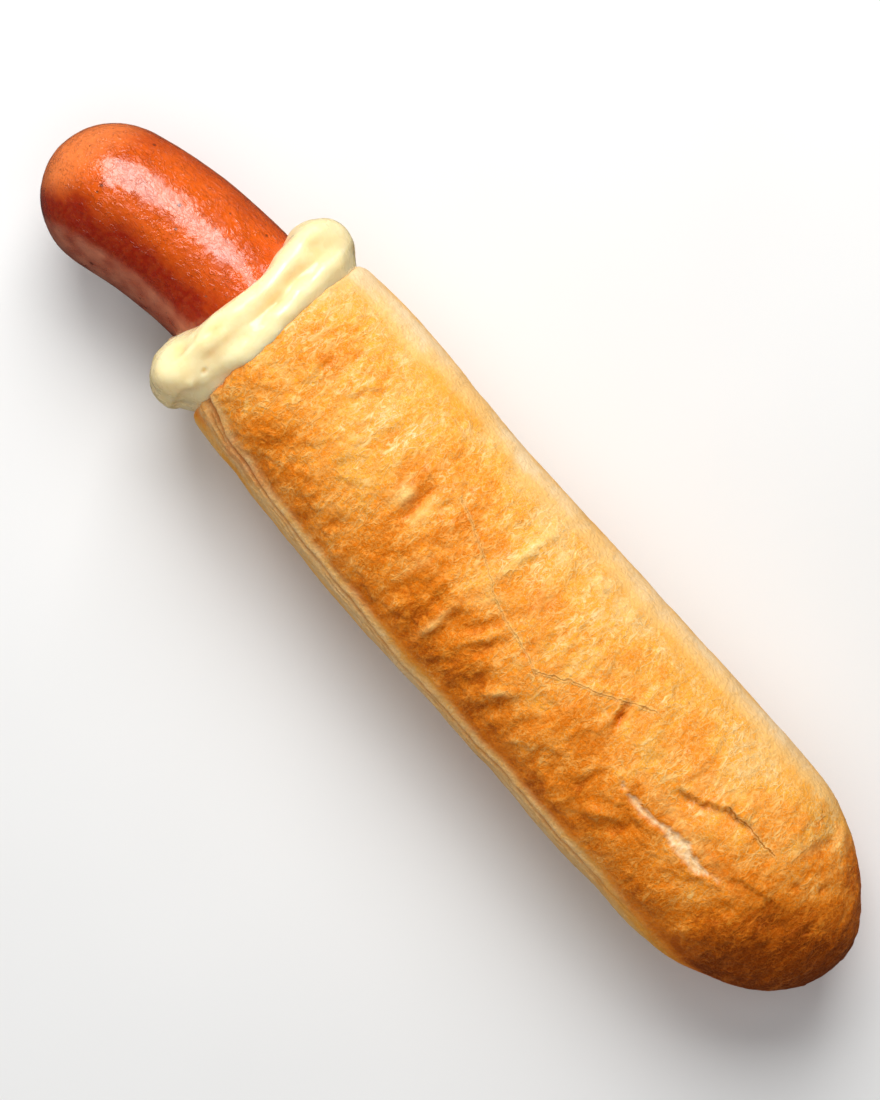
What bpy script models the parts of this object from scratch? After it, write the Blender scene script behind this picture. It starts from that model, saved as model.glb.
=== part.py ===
"""Hot dog of the filled kind, in three pieces.

A long crusty roll is cut square at one end and hollowed lengthwise. A sausage fills the hollow
and curves out of the mouth, and a thick collar of pale sauce sits round it there.

The food lies along X, with the sausage's tip towards +X. The seam along the side of the crust
faces +Y. The roll rests on the flat of its underside at z = 0.
"""

import math

import bmesh
import bpy
from mathutils import Vector

MM = 0.001

# Roll
ROLL_END_X = -116.0 * MM
MOUTH_X = 57.3 * MM
ROLL_HALF_WIDTH = 25.0 * MM
ROLL_HALF_HEIGHT = 23.0 * MM
ROLL_CENTRE_Z = 21.0 * MM
ROUND_END_LENGTH = 38.7 * MM
RIM_ROUNDING = 2.0 * MM
SECTION_POWER = 2.2
ROLL_STEPS = 60
END_RINGS = 12
RING_SPACING = 4.8 * MM

# Half widths of the roll on its two sides, at places along it: (x, half width)
SEAM_SIDE = (
    (-80 * MM, 25.2 * MM),
    (-60 * MM, 25.6 * MM),
    (-25 * MM, 24.9 * MM),
    (0 * MM, 25.4 * MM),
    (25 * MM, 24.4 * MM),
    (57 * MM, 22.6 * MM),
)
PLAIN_SIDE = (
    (-80 * MM, 24.8 * MM),
    (-30 * MM, 24.7 * MM),
    (5 * MM, 24.5 * MM),
    (38 * MM, 25.7 * MM),
    (57 * MM, 24.9 * MM),
)

# Seam: the upper crust stops in a lip above the layer below it, and climbs towards the mouth.
# Places on the lip seen from above: (x, y)
SEAM_LINE = (
    (-75 * MM, 23.4 * MM),
    (-24 * MM, 23.4 * MM),
    (-9 * MM, 23.7 * MM),
    (10 * MM, 22.6 * MM),
    (30 * MM, 21.8 * MM),
    (46 * MM, 19.9 * MM),
    (57 * MM, 17.2 * MM),
)
SEAM_HALF_ANGLE = math.radians(4.0)
SEAM_DEPTH = 1.3 * MM
LIP_SETBACK = 0.5 * MM
LIP_BLEND_ANGLE = math.radians(40.0)
SEAM_CROWDING = 0.5
SEAM_START_X = -78.0 * MM
SEAM_FADE = 20.0 * MM

# Soft dents across the top of the crust: (x, y, half length, half width, depth)
DENTS = (
    (33 * MM, -3 * MM, 5 * MM, 14 * MM, 0.5 * MM),
    (12 * MM, 6 * MM, 5 * MM, 13 * MM, 0.8 * MM),
    (-6 * MM, 8 * MM, 4 * MM, 12 * MM, 0.6 * MM),
    (-30 * MM, 10 * MM, 5 * MM, 12 * MM, 0.8 * MM),
    (-50 * MM, -4 * MM, 5 * MM, 9 * MM, 0.6 * MM),
    (-97 * MM, -8 * MM, 4 * MM, 5 * MM, 0.7 * MM),
)

# Slashes that opened in the oven, as points on the crust seen from above: (x, y)
OPEN_SLASH = (
    (-56.0 * MM, 7.4 * MM),
    (-66.0 * MM, 8.1 * MM),
    (-76.0 * MM, 8.0 * MM),
    (-83.0 * MM, 5.8 * MM),
)
FLAP_SLASH = (
    (-65.0 * MM, -0.7 * MM),
    (-73.5 * MM, -5.0 * MM),
    (-80.0 * MM, -5.7 * MM),
    (-87.5 * MM, -6.5 * MM),
)
OPEN_SLASH_HALF_WIDTH = 1.5 * MM
FLAP_SLASH_HALF_WIDTH = 0.9 * MM
SLASH_SINK = 0.25

# Sausage
SAUSAGE_RADIUS = 15.65 * MM
SAUSAGE_Y = -1.95 * MM
SAUSAGE_Z = 22.0 * MM
SAUSAGE_LENGTH = 171.0 * MM
TIP_X = 116.0 * MM
BEND_START_X = 66.5 * MM
BEND_RADIUS = 107.0 * MM
BEND_LENGTH = TIP_X - SAUSAGE_RADIUS - BEND_START_X
BEND_TURN = math.asin(BEND_LENGTH / BEND_RADIUS)
BEND_RINGS = 14
SAUSAGE_STEPS = 36
CAP_RINGS = 7

# Gap kept between pieces that touch, and the hollow that the sausage fills
GAP = 0.3 * MM
BORE_RADIUS = SAUSAGE_RADIUS + GAP
BORE_STEPS = 48

# Sauce collar: an outline across the ring, as (distance in front of the mouth, share of the way
# from the sausage's skin to the collar's outer edge)
SAUCE_OUTLINE = (
    (0.3 * MM, 0.00),
    (0.3 * MM, 0.45),
    (0.3 * MM, 0.86),
    (1.2 * MM, 1.00),
    (3.2 * MM, 0.98),
    (5.0 * MM, 0.84),
    (7.0 * MM, 0.90),
    (9.3 * MM, 0.74),
    (10.0 * MM, 0.38),
    (9.0 * MM, 0.00),
)
SAUCE_CURVE_STEPS = 2
SAUCE_STEPS = 54
SAUCE_HALF_WIDTH = 25.6 * MM
SAUCE_HALF_HEIGHT = 22.2 * MM
SAUCE_CENTRE_Y = -1.05 * MM
SAUCE_CENTRE_Z = 22.9 * MM
SAUCE_SIDE_REACH = 2.6 * MM
SAUCE_RIPPLE = 0.6 * MM
SAUCE_RIPPLES = 7
NUB_ANGLE = math.radians(32.0)
NUB_HALF_ANGLE = math.radians(7.0)
NUB_REACH = 1.6 * MM

# Colours: linear red, green and blue
CRUST_COLOUR = (0.80, 0.42, 0.10)
SAUSAGE_COLOUR = (0.55, 0.10, 0.03)
SAUCE_COLOUR = (0.90, 0.80, 0.48)


def clear_scene():
    """Removes whatever the scene holds."""
    for item in list(bpy.data.objects):
        bpy.data.objects.remove(item, do_unlink=True)


def new_collection(name):
    """Makes a collection in the scene."""
    group = bpy.data.collections.new(name)
    bpy.context.scene.collection.children.link(group)
    return group


def new_material(name, colour, roughness):
    """Makes a plain Principled material."""
    material = bpy.data.materials.new(name)
    material.use_nodes = True
    shader = material.node_tree.nodes["Principled BSDF"]
    shader.inputs["Base Color"].default_value = (*colour, 1.0)
    shader.inputs["Roughness"].default_value = roughness
    shader.inputs["Metallic"].default_value = 0.0
    return material


def new_piece(name, mesh, group, material=None):
    """Makes a smooth shaded object from a mesh."""
    mesh.shade_smooth()
    mesh.set_sharp_from_angle(angle=math.radians(50.0))
    if material:
        mesh.materials.append(material)
    piece = bpy.data.objects.new(name, mesh)
    group.objects.link(piece)
    return piece


def evaluated_mesh(item):
    """Returns an object's mesh with its modifiers applied, and removes the object."""
    graph = bpy.context.evaluated_depsgraph_get()
    mesh = bpy.data.meshes.new_from_object(item.evaluated_get(graph), depsgraph=graph)
    bpy.data.objects.remove(item, do_unlink=True)
    return mesh


def outward(mesh):
    """Merges a mesh's doubles and turns all its faces outwards."""
    work = bmesh.new()
    work.from_mesh(mesh)
    bmesh.ops.remove_doubles(work, verts=work.verts, dist=1e-6)
    bmesh.ops.recalc_face_normals(work, faces=work.faces)
    work.to_mesh(mesh)
    work.free()
    return mesh


def turned(profile, steps, closed=False):
    """Turns a profile of (x, radius) points about the X axis."""
    points = [(x, 0.0, radius) for x, radius in profile]
    edges = [(i, i + 1) for i in range(len(points) - 1)]
    if closed:
        edges.append((len(points) - 1, 0))
    mesh = bpy.data.meshes.new("profile")
    mesh.from_pydata(points, edges, [])
    item = bpy.data.objects.new("profile", mesh)
    bpy.context.scene.collection.objects.link(item)
    screw = item.modifiers.new("turn", "SCREW")
    screw.axis = "X"
    screw.steps = steps
    screw.render_steps = steps
    screw.use_merge_vertices = True
    screw.merge_threshold = 1e-6
    return outward(evaluated_mesh(item))


def reshape(mesh, rule):
    """Moves each of a mesh's points to where the rule puts it."""
    for vertex in mesh.vertices:
        vertex.co = rule(*vertex.co)
    return mesh


def smooth(value):
    """Eases a value from 0 to 1."""
    value = min(max(value, 0.0), 1.0)
    return value * value * (3.0 - 2.0 * value)


def along(stations, x):
    """Reads a smooth curve through (x, value) stations."""
    if x <= stations[0][0]:
        return stations[0][1]
    for (x0, v0), (x1, v1) in zip(stations, stations[1:]):
        if x <= x1:
            return v0 + (v1 - v0) * smooth((x - x0) / (x1 - x0))
    return stations[-1][1]


def bump(distance, half_width):
    """A soft bump, 1 in its middle."""
    return math.exp(-((distance / half_width) ** 2))


def power(value, exponent):
    """Raises a value's size to a power and keeps its sign."""
    return math.copysign(abs(value) ** exponent, value)


# ---------------------------------------------------------------- roll


def end_share(x):
    """The share of its full section that the roll has at x, under 1 in the round end."""
    reach = (ROLL_END_X + ROUND_END_LENGTH - x) / ROUND_END_LENGTH
    return math.sqrt(max(0.0, 1.0 - max(0.0, reach) ** 2))


def roll_profile():
    """The roll's turned profile, from the tip of its round end to the middle of its mouth."""
    points = []
    for i in range(END_RINGS):
        turn = 0.5 * math.pi * i / END_RINGS
        x = ROLL_END_X + ROUND_END_LENGTH * (1.0 - math.cos(turn))
        points.append((x, ROLL_HALF_WIDTH * math.sin(turn)))
    start = ROLL_END_X + ROUND_END_LENGTH
    stop = MOUTH_X - RIM_ROUNDING
    rings = round((stop - start) / RING_SPACING)
    for i in range(rings):
        points.append((start + (stop - start) * i / rings, ROLL_HALF_WIDTH))
    for i in range(4):
        turn = 0.5 * math.pi * i / 3
        inset = RIM_ROUNDING * (1.0 - math.cos(turn))
        points.append((stop + RIM_ROUNDING * math.sin(turn), ROLL_HALF_WIDTH - inset))
    points.append((MOUTH_X, 0.0))
    return points


def seam_angle(x):
    """The angle of the seam round the section at x."""
    reach = along(SEAM_LINE, x) / along(SEAM_SIDE, x)
    return math.acos(reach ** (0.5 * SECTION_POWER))


def seam_strength(x):
    """How deep the seam is at x, from 0 at its start to 1."""
    return smooth((x - SEAM_START_X) / SEAM_FADE)


def roll_point(x, y, z):
    """Moves a point of the turned form onto the roll's real section."""
    share = math.hypot(y, z) / ROLL_HALF_WIDTH
    angle = math.atan2(z, y)
    strength = seam_strength(x)

    # Steps round the section crowd towards the seam, so that its edges are crisp
    off_seam = math.remainder(angle - seam_angle(x), 2.0 * math.pi)
    off_seam -= SEAM_CROWDING * math.sin(off_seam)
    angle = seam_angle(x) + off_seam

    side = along(SEAM_SIDE, x) if math.cos(angle) > 0 else along(PLAIN_SIDE, x)
    across = side * power(math.cos(angle), 2.0 / SECTION_POWER)
    up = ROLL_HALF_HEIGHT * power(math.sin(angle), 2.0 / SECTION_POWER)
    groove = SEAM_DEPTH * bump(off_seam, SEAM_HALF_ANGLE)
    if 0.0 < off_seam < LIP_BLEND_ANGLE:
        groove += LIP_SETBACK * (1.0 - smooth(off_seam / LIP_BLEND_ANGLE))
    pull = 1.0 - strength * groove / math.hypot(across, up)
    across *= share * pull
    up *= share * pull
    for dent_x, dent_y, length, width, depth in DENTS:
        if up > 0:
            up -= share * depth * bump(x - dent_x, length) * bump(across - dent_y, width)
    return Vector((x, across, max(0.0, ROLL_CENTRE_Z + up)))


def crust_height(x, y):
    """How high the crust's top is over the point (x, y)."""
    share = end_share(x)
    side = along(SEAM_SIDE, x) if y > 0 else along(PLAIN_SIDE, x)
    reach = min(1.0, abs(y) / (side * share))
    rise = (1.0 - reach**SECTION_POWER) ** (1.0 / SECTION_POWER)
    return ROLL_CENTRE_Z + ROLL_HALF_HEIGHT * share * rise


def slash_cutter(name, route, half_width, group):
    """Makes a boat-shaped cutter that lies along a slash, its ends running out to nothing."""
    curve = bpy.data.curves.new(name, "CURVE")
    curve.dimensions = "3D"
    curve.bevel_depth = half_width
    curve.bevel_resolution = 2
    curve.use_fill_caps = True
    points = []
    for (x0, y0), (x1, y1) in zip(route, route[1:]):
        for i in range(4):
            points.append((x0 + (x1 - x0) * i / 4, y0 + (y1 - y0) * i / 4))
    points.append(route[-1])
    spline = curve.splines.new("POLY")
    spline.points.add(len(points) - 1)
    for i, (x, y) in enumerate(points):
        swell = math.sin(math.pi * (i + 0.5) / len(points)) ** 0.7
        height = crust_height(x, y) + SLASH_SINK * half_width
        spline.points[i].co = (x, y, height, 1.0)
        spline.points[i].radius = swell
    item = bpy.data.objects.new(name, curve)
    bpy.context.scene.collection.objects.link(item)
    return new_cutter(name, outward(evaluated_mesh(item)), group)


def new_cutter(name, mesh, group):
    """Makes a cutter, which is drawn as wires and isn't part of the food."""
    cutter = new_piece(name, mesh, group)
    cutter.hide_render = True
    cutter.display_type = "WIRE"
    return cutter


def bore_cutter(group):
    """Makes the cutter of the hollow: the sausage's straight stretch, with the gap round it."""
    end_x = TIP_X - SAUSAGE_LENGTH - GAP
    profile = []
    for i in range(CAP_RINGS):
        turn = 0.5 * math.pi * i / CAP_RINGS
        x = end_x + BORE_RADIUS * (1.0 - math.cos(turn))
        profile.append((x, BORE_RADIUS * math.sin(turn)))
    profile.append((end_x + BORE_RADIUS, BORE_RADIUS))
    profile.append((MOUTH_X + RIM_ROUNDING, BORE_RADIUS))
    profile.append((MOUTH_X + RIM_ROUNDING, 0.0))
    mesh = turned(profile, BORE_STEPS)
    reshape(mesh, lambda x, y, z: Vector((x, y + SAUSAGE_Y, z + SAUSAGE_Z)))
    return new_cutter("bore_cutter", mesh, group)


def make_roll(group, cutters):
    """Makes the roll: a turned form pressed to its real section, hollowed and slashed."""
    mesh = reshape(turned(roll_profile(), ROLL_STEPS), roll_point)
    roll = new_piece("bun", mesh, group, new_material("crust", CRUST_COLOUR, 0.6))
    tools = (
        bore_cutter(cutters),
        slash_cutter("open_slash_cutter", OPEN_SLASH, OPEN_SLASH_HALF_WIDTH, cutters),
        slash_cutter("flap_slash_cutter", FLAP_SLASH, FLAP_SLASH_HALF_WIDTH, cutters),
    )
    for tool in tools:
        cut = roll.modifiers.new(tool.name, "BOOLEAN")
        cut.operation = "DIFFERENCE"
        cut.object = tool
    return roll


# ---------------------------------------------------------------- sausage


def sausage_profile():
    """The sausage's profile while straight: a bar with round ends."""
    start = TIP_X - SAUSAGE_LENGTH
    points = []
    for i in range(CAP_RINGS):
        turn = 0.5 * math.pi * i / CAP_RINGS
        x = start + SAUSAGE_RADIUS * (1.0 - math.cos(turn))
        points.append((x, SAUSAGE_RADIUS * math.sin(turn)))
    points.append((start + SAUSAGE_RADIUS, SAUSAGE_RADIUS))
    for i in range(BEND_RINGS):
        points.append((BEND_START_X + BEND_LENGTH * i / BEND_RINGS, SAUSAGE_RADIUS))
    for i in range(CAP_RINGS + 1):
        turn = 0.5 * math.pi * i / CAP_RINGS
        x = TIP_X - SAUSAGE_RADIUS * (1.0 - math.sin(turn))
        points.append((x, SAUSAGE_RADIUS * math.cos(turn)))
    return points


def sausage_point(x, y, z):
    """Bends the straight sausage sideways, towards +Y, up to the middle of its round tip."""
    beyond = max(0.0, x - BEND_START_X)
    turn = BEND_TURN * min(1.0, beyond / BEND_LENGTH)
    past = max(0.0, beyond - BEND_LENGTH)
    arm = BEND_RADIUS - y
    bent_x = min(x, BEND_START_X) + arm * math.sin(turn) + past * math.cos(turn)
    bent_y = BEND_RADIUS - arm * math.cos(turn) + past * math.sin(turn)
    return Vector((bent_x, bent_y + SAUSAGE_Y, z + SAUSAGE_Z))


def make_sausage(group):
    """Makes the sausage, its tip bent towards the seam's side."""
    mesh = reshape(turned(sausage_profile(), SAUSAGE_STEPS), sausage_point)
    material = new_material("sausage_skin", SAUSAGE_COLOUR, 0.3)
    return new_piece("sausage", mesh, group, material)


# ---------------------------------------------------------------- sauce


def rounded(outline, steps):
    """Rounds a closed outline with a smooth curve through its points."""
    count = len(outline)
    points = []
    for i in range(count):
        before, here, after, beyond = (
            Vector(outline[(i + step) % count]) for step in (-1, 0, 1, 2)
        )
        for k in range(steps):
            t = k / steps
            points.append(
                0.5
                * (
                    2.0 * here
                    + (after - before) * t
                    + (2.0 * before - 5.0 * here + 4.0 * after - beyond) * t**2
                    + (3.0 * here - before - 3.0 * after + beyond) * t**3
                )
            )
    return points


def collar_reach(angle):
    """How far the collar's outer edge is from the sausage's axis, at an angle round it."""
    across, up = math.cos(angle), math.sin(angle)
    off_y = SAUSAGE_Y - SAUCE_CENTRE_Y
    off_z = SAUSAGE_Z - SAUCE_CENTRE_Z
    a = (across / SAUCE_HALF_WIDTH) ** 2 + (up / SAUCE_HALF_HEIGHT) ** 2
    b = off_y * across / SAUCE_HALF_WIDTH**2 + off_z * up / SAUCE_HALF_HEIGHT**2
    c = (off_y / SAUCE_HALF_WIDTH) ** 2 + (off_z / SAUCE_HALF_HEIGHT) ** 2 - 1.0
    return (-b + math.sqrt(b * b - a * c)) / a


def sauce_point(x, y, z):
    """Moves a point of the turned ring, whose radius is 1 plus its share of the way out."""
    share = math.hypot(y, z) - 1.0
    angle = math.atan2(z, y)
    front = smooth(x / SAUCE_OUTLINE[-2][0])
    x += SAUCE_SIDE_REACH * math.cos(angle) ** 2 * front
    x += SAUCE_RIPPLE * math.sin(SAUCE_RIPPLES * angle + 0.8) * front
    off_nub = math.remainder(angle - NUB_ANGLE, 2.0 * math.pi)
    x += NUB_REACH * bump(off_nub, NUB_HALF_ANGLE) * front * (1.0 - share)
    radius = BORE_RADIUS + max(0.0, share) * (collar_reach(angle) - BORE_RADIUS)
    return Vector(
        (
            MOUTH_X + max(GAP, x),
            SAUSAGE_Y + radius * math.cos(angle),
            SAUSAGE_Z + radius * math.sin(angle),
        )
    )


def make_sauce(group):
    """Makes the collar of sauce round the sausage, against the roll's cut end."""
    outline = rounded(SAUCE_OUTLINE, SAUCE_CURVE_STEPS)
    profile = [(x, 1.0 + max(0.0, share)) for x, share in outline]
    mesh = reshape(turned(profile, SAUCE_STEPS, closed=True), sauce_point)
    return new_piece("sauce", mesh, group, new_material("sauce", SAUCE_COLOUR, 0.25))


def main():
    clear_scene()
    food = new_collection("hot_dog")
    cutters = new_collection("cutters")
    make_roll(food, cutters)
    make_sausage(food)
    make_sauce(food)


main()
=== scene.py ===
"""Looks of a filled hot dog: a crusty roll, the sausage in it and the sauce round its mouth.

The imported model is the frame, and every piece here replaces one of its solids. The food lies
along X, the sausage's tip towards +X and the seam of the crust towards +Y, on the plane z = 0.
Sizes are in millimetres, and MM turns them into metres.
"""

import logging
import math
from collections.abc import Callable
from dataclasses import dataclass, field
from enum import Enum
from itertools import product

import bmesh
import bpy
import numpy as np
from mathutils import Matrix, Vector


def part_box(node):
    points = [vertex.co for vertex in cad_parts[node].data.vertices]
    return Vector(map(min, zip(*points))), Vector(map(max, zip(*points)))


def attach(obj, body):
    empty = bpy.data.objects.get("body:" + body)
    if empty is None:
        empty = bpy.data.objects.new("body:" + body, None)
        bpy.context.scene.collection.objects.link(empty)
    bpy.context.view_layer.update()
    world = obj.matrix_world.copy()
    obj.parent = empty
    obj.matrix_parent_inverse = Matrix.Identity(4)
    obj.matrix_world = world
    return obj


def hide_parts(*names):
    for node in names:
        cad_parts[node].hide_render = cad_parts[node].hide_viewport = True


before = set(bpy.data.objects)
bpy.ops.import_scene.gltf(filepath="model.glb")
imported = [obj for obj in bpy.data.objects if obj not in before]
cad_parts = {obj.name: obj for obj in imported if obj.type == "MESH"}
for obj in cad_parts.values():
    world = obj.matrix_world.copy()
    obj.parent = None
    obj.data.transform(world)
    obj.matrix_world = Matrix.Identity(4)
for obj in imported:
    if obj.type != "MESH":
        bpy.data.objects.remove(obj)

MM = 0.001
Stations = tuple[tuple[float, float], ...]
Route = tuple[tuple[float, float], ...]
Colour = tuple[float, float, float]

log = logging.getLogger("hot_dog")


# ------------------------------------------------------------------ shaping by formula


def smooth(value: np.ndarray) -> np.ndarray:
    """Eases a value from 0 to 1, and holds it there."""
    value = np.clip(value, 0.0, 1.0)
    return value * value * (3.0 - 2.0 * value)


def bump(distance: np.ndarray, half_width: float) -> np.ndarray:
    """A soft bump, 1 in its middle."""
    return np.exp(-((distance / half_width) ** 2))


def power(value: np.ndarray, exponent: float) -> np.ndarray:
    """Raises a value's size to a power and keeps its sign."""
    return np.sign(value) * np.abs(value) ** exponent


def along(stations: Stations, place: np.ndarray) -> np.ndarray:
    """Reads an eased curve through stations.

    Args:
        stations: Pairs of a place and the value there, in rising order of place.
        place: The places to read.

    Returns:
        The values there, held level past either end.
    """
    places = np.array([station[0] for station in stations])
    values = np.array([station[1] for station in stations])
    before = np.clip(np.searchsorted(places, place) - 1, 0, len(places) - 2)
    share = smooth((place - places[before]) / (places[before + 1] - places[before]))
    return values[before] + (values[before + 1] - values[before]) * share


def beside(route: Route, x: np.ndarray, y: np.ndarray) -> tuple[np.ndarray, np.ndarray]:
    """Measures points against a route seen from above.

    Args:
        route: The route's points.
        x: The points' places along the food.
        y: The points' places across it.

    Returns:
        The distance of each point from the route, positive on the +Y side of a route that runs
        towards -X, and the share of the route's length passed at the nearest place.
    """
    nearest = np.full(x.shape, np.inf)
    signed = np.zeros(x.shape)
    passed = np.zeros(x.shape)
    lengths = [math.dist(a, b) for a, b in zip(route, route[1:])]
    start = 0.0
    for (ax, ay), (bx, by), length in zip(route, route[1:], lengths):
        ux, uy = (bx - ax) / length, (by - ay) / length
        on = np.clip((x - ax) * ux + (y - ay) * uy, 0.0, length)
        away = np.hypot(x - ax - on * ux, y - ay - on * uy)
        side = (x - ax) * uy - (y - ay) * ux
        closer = away < nearest
        nearest = np.where(closer, away, nearest)
        signed = np.where(closer, np.where(side > 0, away, -away), signed)
        passed = np.where(closer, (start + on) / sum(lengths), passed)
        start += length
    return signed, passed


class Noise:
    """Smooth seeded noise in space, read for many points at once."""

    LATTICE = 256

    def __init__(self, seed: int) -> None:
        """Draws the lattice's gradients from a seed.

        Args:
            seed: The number that fixes the noise.
        """
        draw = np.random.default_rng(seed)
        self.order = draw.permutation(self.LATTICE)
        arrows = draw.normal(size=(self.LATTICE, 3))
        self.arrows = arrows / np.linalg.norm(arrows, axis=1, keepdims=True)

    def at(self, points: np.ndarray, size: float | tuple[float, float, float]) -> np.ndarray:
        """Reads the noise.

        Args:
            points: An array of points, three columns wide.
            size: The size of its lumps, one for all three axes or one for each.

        Returns:
            A value for each point, about -1 to 1.
        """
        place = points / np.asarray(size, float)
        cell = np.floor(place).astype(int)
        inside = place - cell
        ease = inside**3 * (inside * (inside * 6.0 - 15.0) + 10.0)
        total = np.zeros(len(points))
        for corner in product((0, 1), repeat=3):
            key = np.zeros(len(points), int)
            weight = np.ones(len(points))
            for axis in range(3):
                key = self.order[(key + cell[:, axis] + corner[axis]) % self.LATTICE]
                weight *= ease[:, axis] if corner[axis] else 1.0 - ease[:, axis]
            total += weight * np.sum(self.arrows[key] * (inside - corner), axis=1)
        return 1.6 * total

    def layers(self, points: np.ndarray, size: float, count: int) -> np.ndarray:
        """Sums layers of noise, each half the size and strength of the last."""
        return sum(self.at(points + 31.7 * i, size / 2**i) / 2**i for i in range(count))

    def ridges(
        self, points: np.ndarray, size: float | tuple[float, float, float]
    ) -> np.ndarray:
        """Reads the noise as sharp crests, 1 on each crest and 0 between them."""
        return np.clip(1.0 - 2.2 * np.abs(self.at(points, size)), 0.0, 1.0)


# ------------------------------------------------------------------ modelling tools


def deselect_all() -> None:
    """Deselects every object."""
    bpy.ops.object.select_all(action="DESELECT")


def make_active(piece: bpy.types.Object) -> None:
    """Selects a piece alone and makes it the active one.

    Args:
        piece: The piece.
    """
    deselect_all()
    piece.select_set(True)
    bpy.context.view_layer.objects.active = piece


def new_piece(name: str) -> bpy.types.Object:
    """Names the primitive that was just added and puts its place into its mesh.

    Args:
        name: The piece's name.

    Returns:
        The piece.
    """
    piece = bpy.context.object
    piece.name = name
    piece.data.name = name
    bpy.ops.object.transform_apply(location=True, rotation=True, scale=True)
    return piece


def select_faces(piece: bpy.types.Object, test: Callable[[bmesh.types.BMFace], bool]) -> None:
    """Selects, in edit mode, only the faces that pass a test.

    Args:
        piece: The piece in edit mode.
        test: Tells whether a face is wanted.
    """
    bpy.context.tool_settings.mesh_select_mode = (False, False, True)
    bpy.ops.mesh.select_all(action="DESELECT")
    work = bmesh.from_edit_mesh(piece.data)
    for face in work.faces:
        face.select_set(test(face))
    bmesh.update_edit_mesh(piece.data)


def select_edges(piece: bpy.types.Object, test: Callable[[bmesh.types.BMEdge], bool]) -> None:
    """Selects, in edit mode, only the edges that pass a test.

    Args:
        piece: The piece in edit mode.
        test: Tells whether an edge is wanted.
    """
    bpy.context.tool_settings.mesh_select_mode = (False, True, False)
    bpy.ops.mesh.select_all(action="DESELECT")
    work = bmesh.from_edit_mesh(piece.data)
    for edge in work.edges:
        edge.select_set(test(edge))
    bmesh.update_edit_mesh(piece.data)


def extrude(move: tuple[float, float, float], widen: float | None = None) -> None:
    """Extrudes the selected faces, and scales them if they are to get wider or narrower.

    Args:
        move: How far they go, in millimetres.
        widen: The factor they are scaled by about their own middle.
    """
    bpy.ops.mesh.extrude_region_move(
        TRANSFORM_OT_translate={"value": tuple(part * MM for part in move)}
    )
    if widen is not None:
        bpy.ops.transform.resize(value=(widen, widen, widen))


def refine(piece: bpy.types.Object, levels: int) -> None:
    """Subdivides a piece's cage into a smooth fine mesh.

    Args:
        piece: The piece.
        levels: How often each face is split.
    """
    make_active(piece)
    modifier = piece.modifiers.new("refine", "SUBSURF")
    modifier.levels = levels
    modifier.render_levels = levels
    bpy.ops.object.modifier_apply(modifier=modifier.name)


def read_points(piece: bpy.types.Object) -> np.ndarray:
    """Reads a mesh's points, in millimetres.

    Args:
        piece: The piece.

    Returns:
        Its points, three columns wide.
    """
    flat = np.empty(len(piece.data.vertices) * 3, np.float32)
    piece.data.vertices.foreach_get("co", flat)
    return flat.reshape(-1, 3).astype(float) / MM


def write_points(piece: bpy.types.Object, points: np.ndarray) -> None:
    """Writes a mesh's points, given in millimetres."""
    piece.data.vertices.foreach_set("co", (points * MM).astype(np.float32).ravel())
    piece.data.update()


def read_normals(piece: bpy.types.Object) -> np.ndarray:
    """Reads the normals of a mesh's points.

    Args:
        piece: The piece.

    Returns:
        A unit arrow for each point.
    """
    flat = np.empty(len(piece.data.vertices) * 3, np.float32)
    piece.data.vertex_normals.foreach_get("vector", flat)
    return flat.reshape(-1, 3).astype(float)


def write_mask(piece: bpy.types.Object, name: str, values: np.ndarray) -> None:
    """Stores a value from 0 to 1 on each of a mesh's points, for its material to read."""
    mask = piece.data.attributes.new(name, "FLOAT", "POINT")
    mask.data.foreach_set("value", np.clip(values, 0.0, 1.0).astype(np.float32))


def finish_piece(piece: bpy.types.Object, node: str) -> None:
    """Shades a piece smooth and puts it in its solid's place.

    Args:
        piece: The finished piece.
        node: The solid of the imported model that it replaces.
    """
    make_active(piece)
    bpy.ops.object.shade_smooth()
    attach(piece, "root")
    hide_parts(node)
    log.info("%s: %d faces", piece.name, len(piece.data.polygons))


# ------------------------------------------------------------------ shader tools


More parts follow.
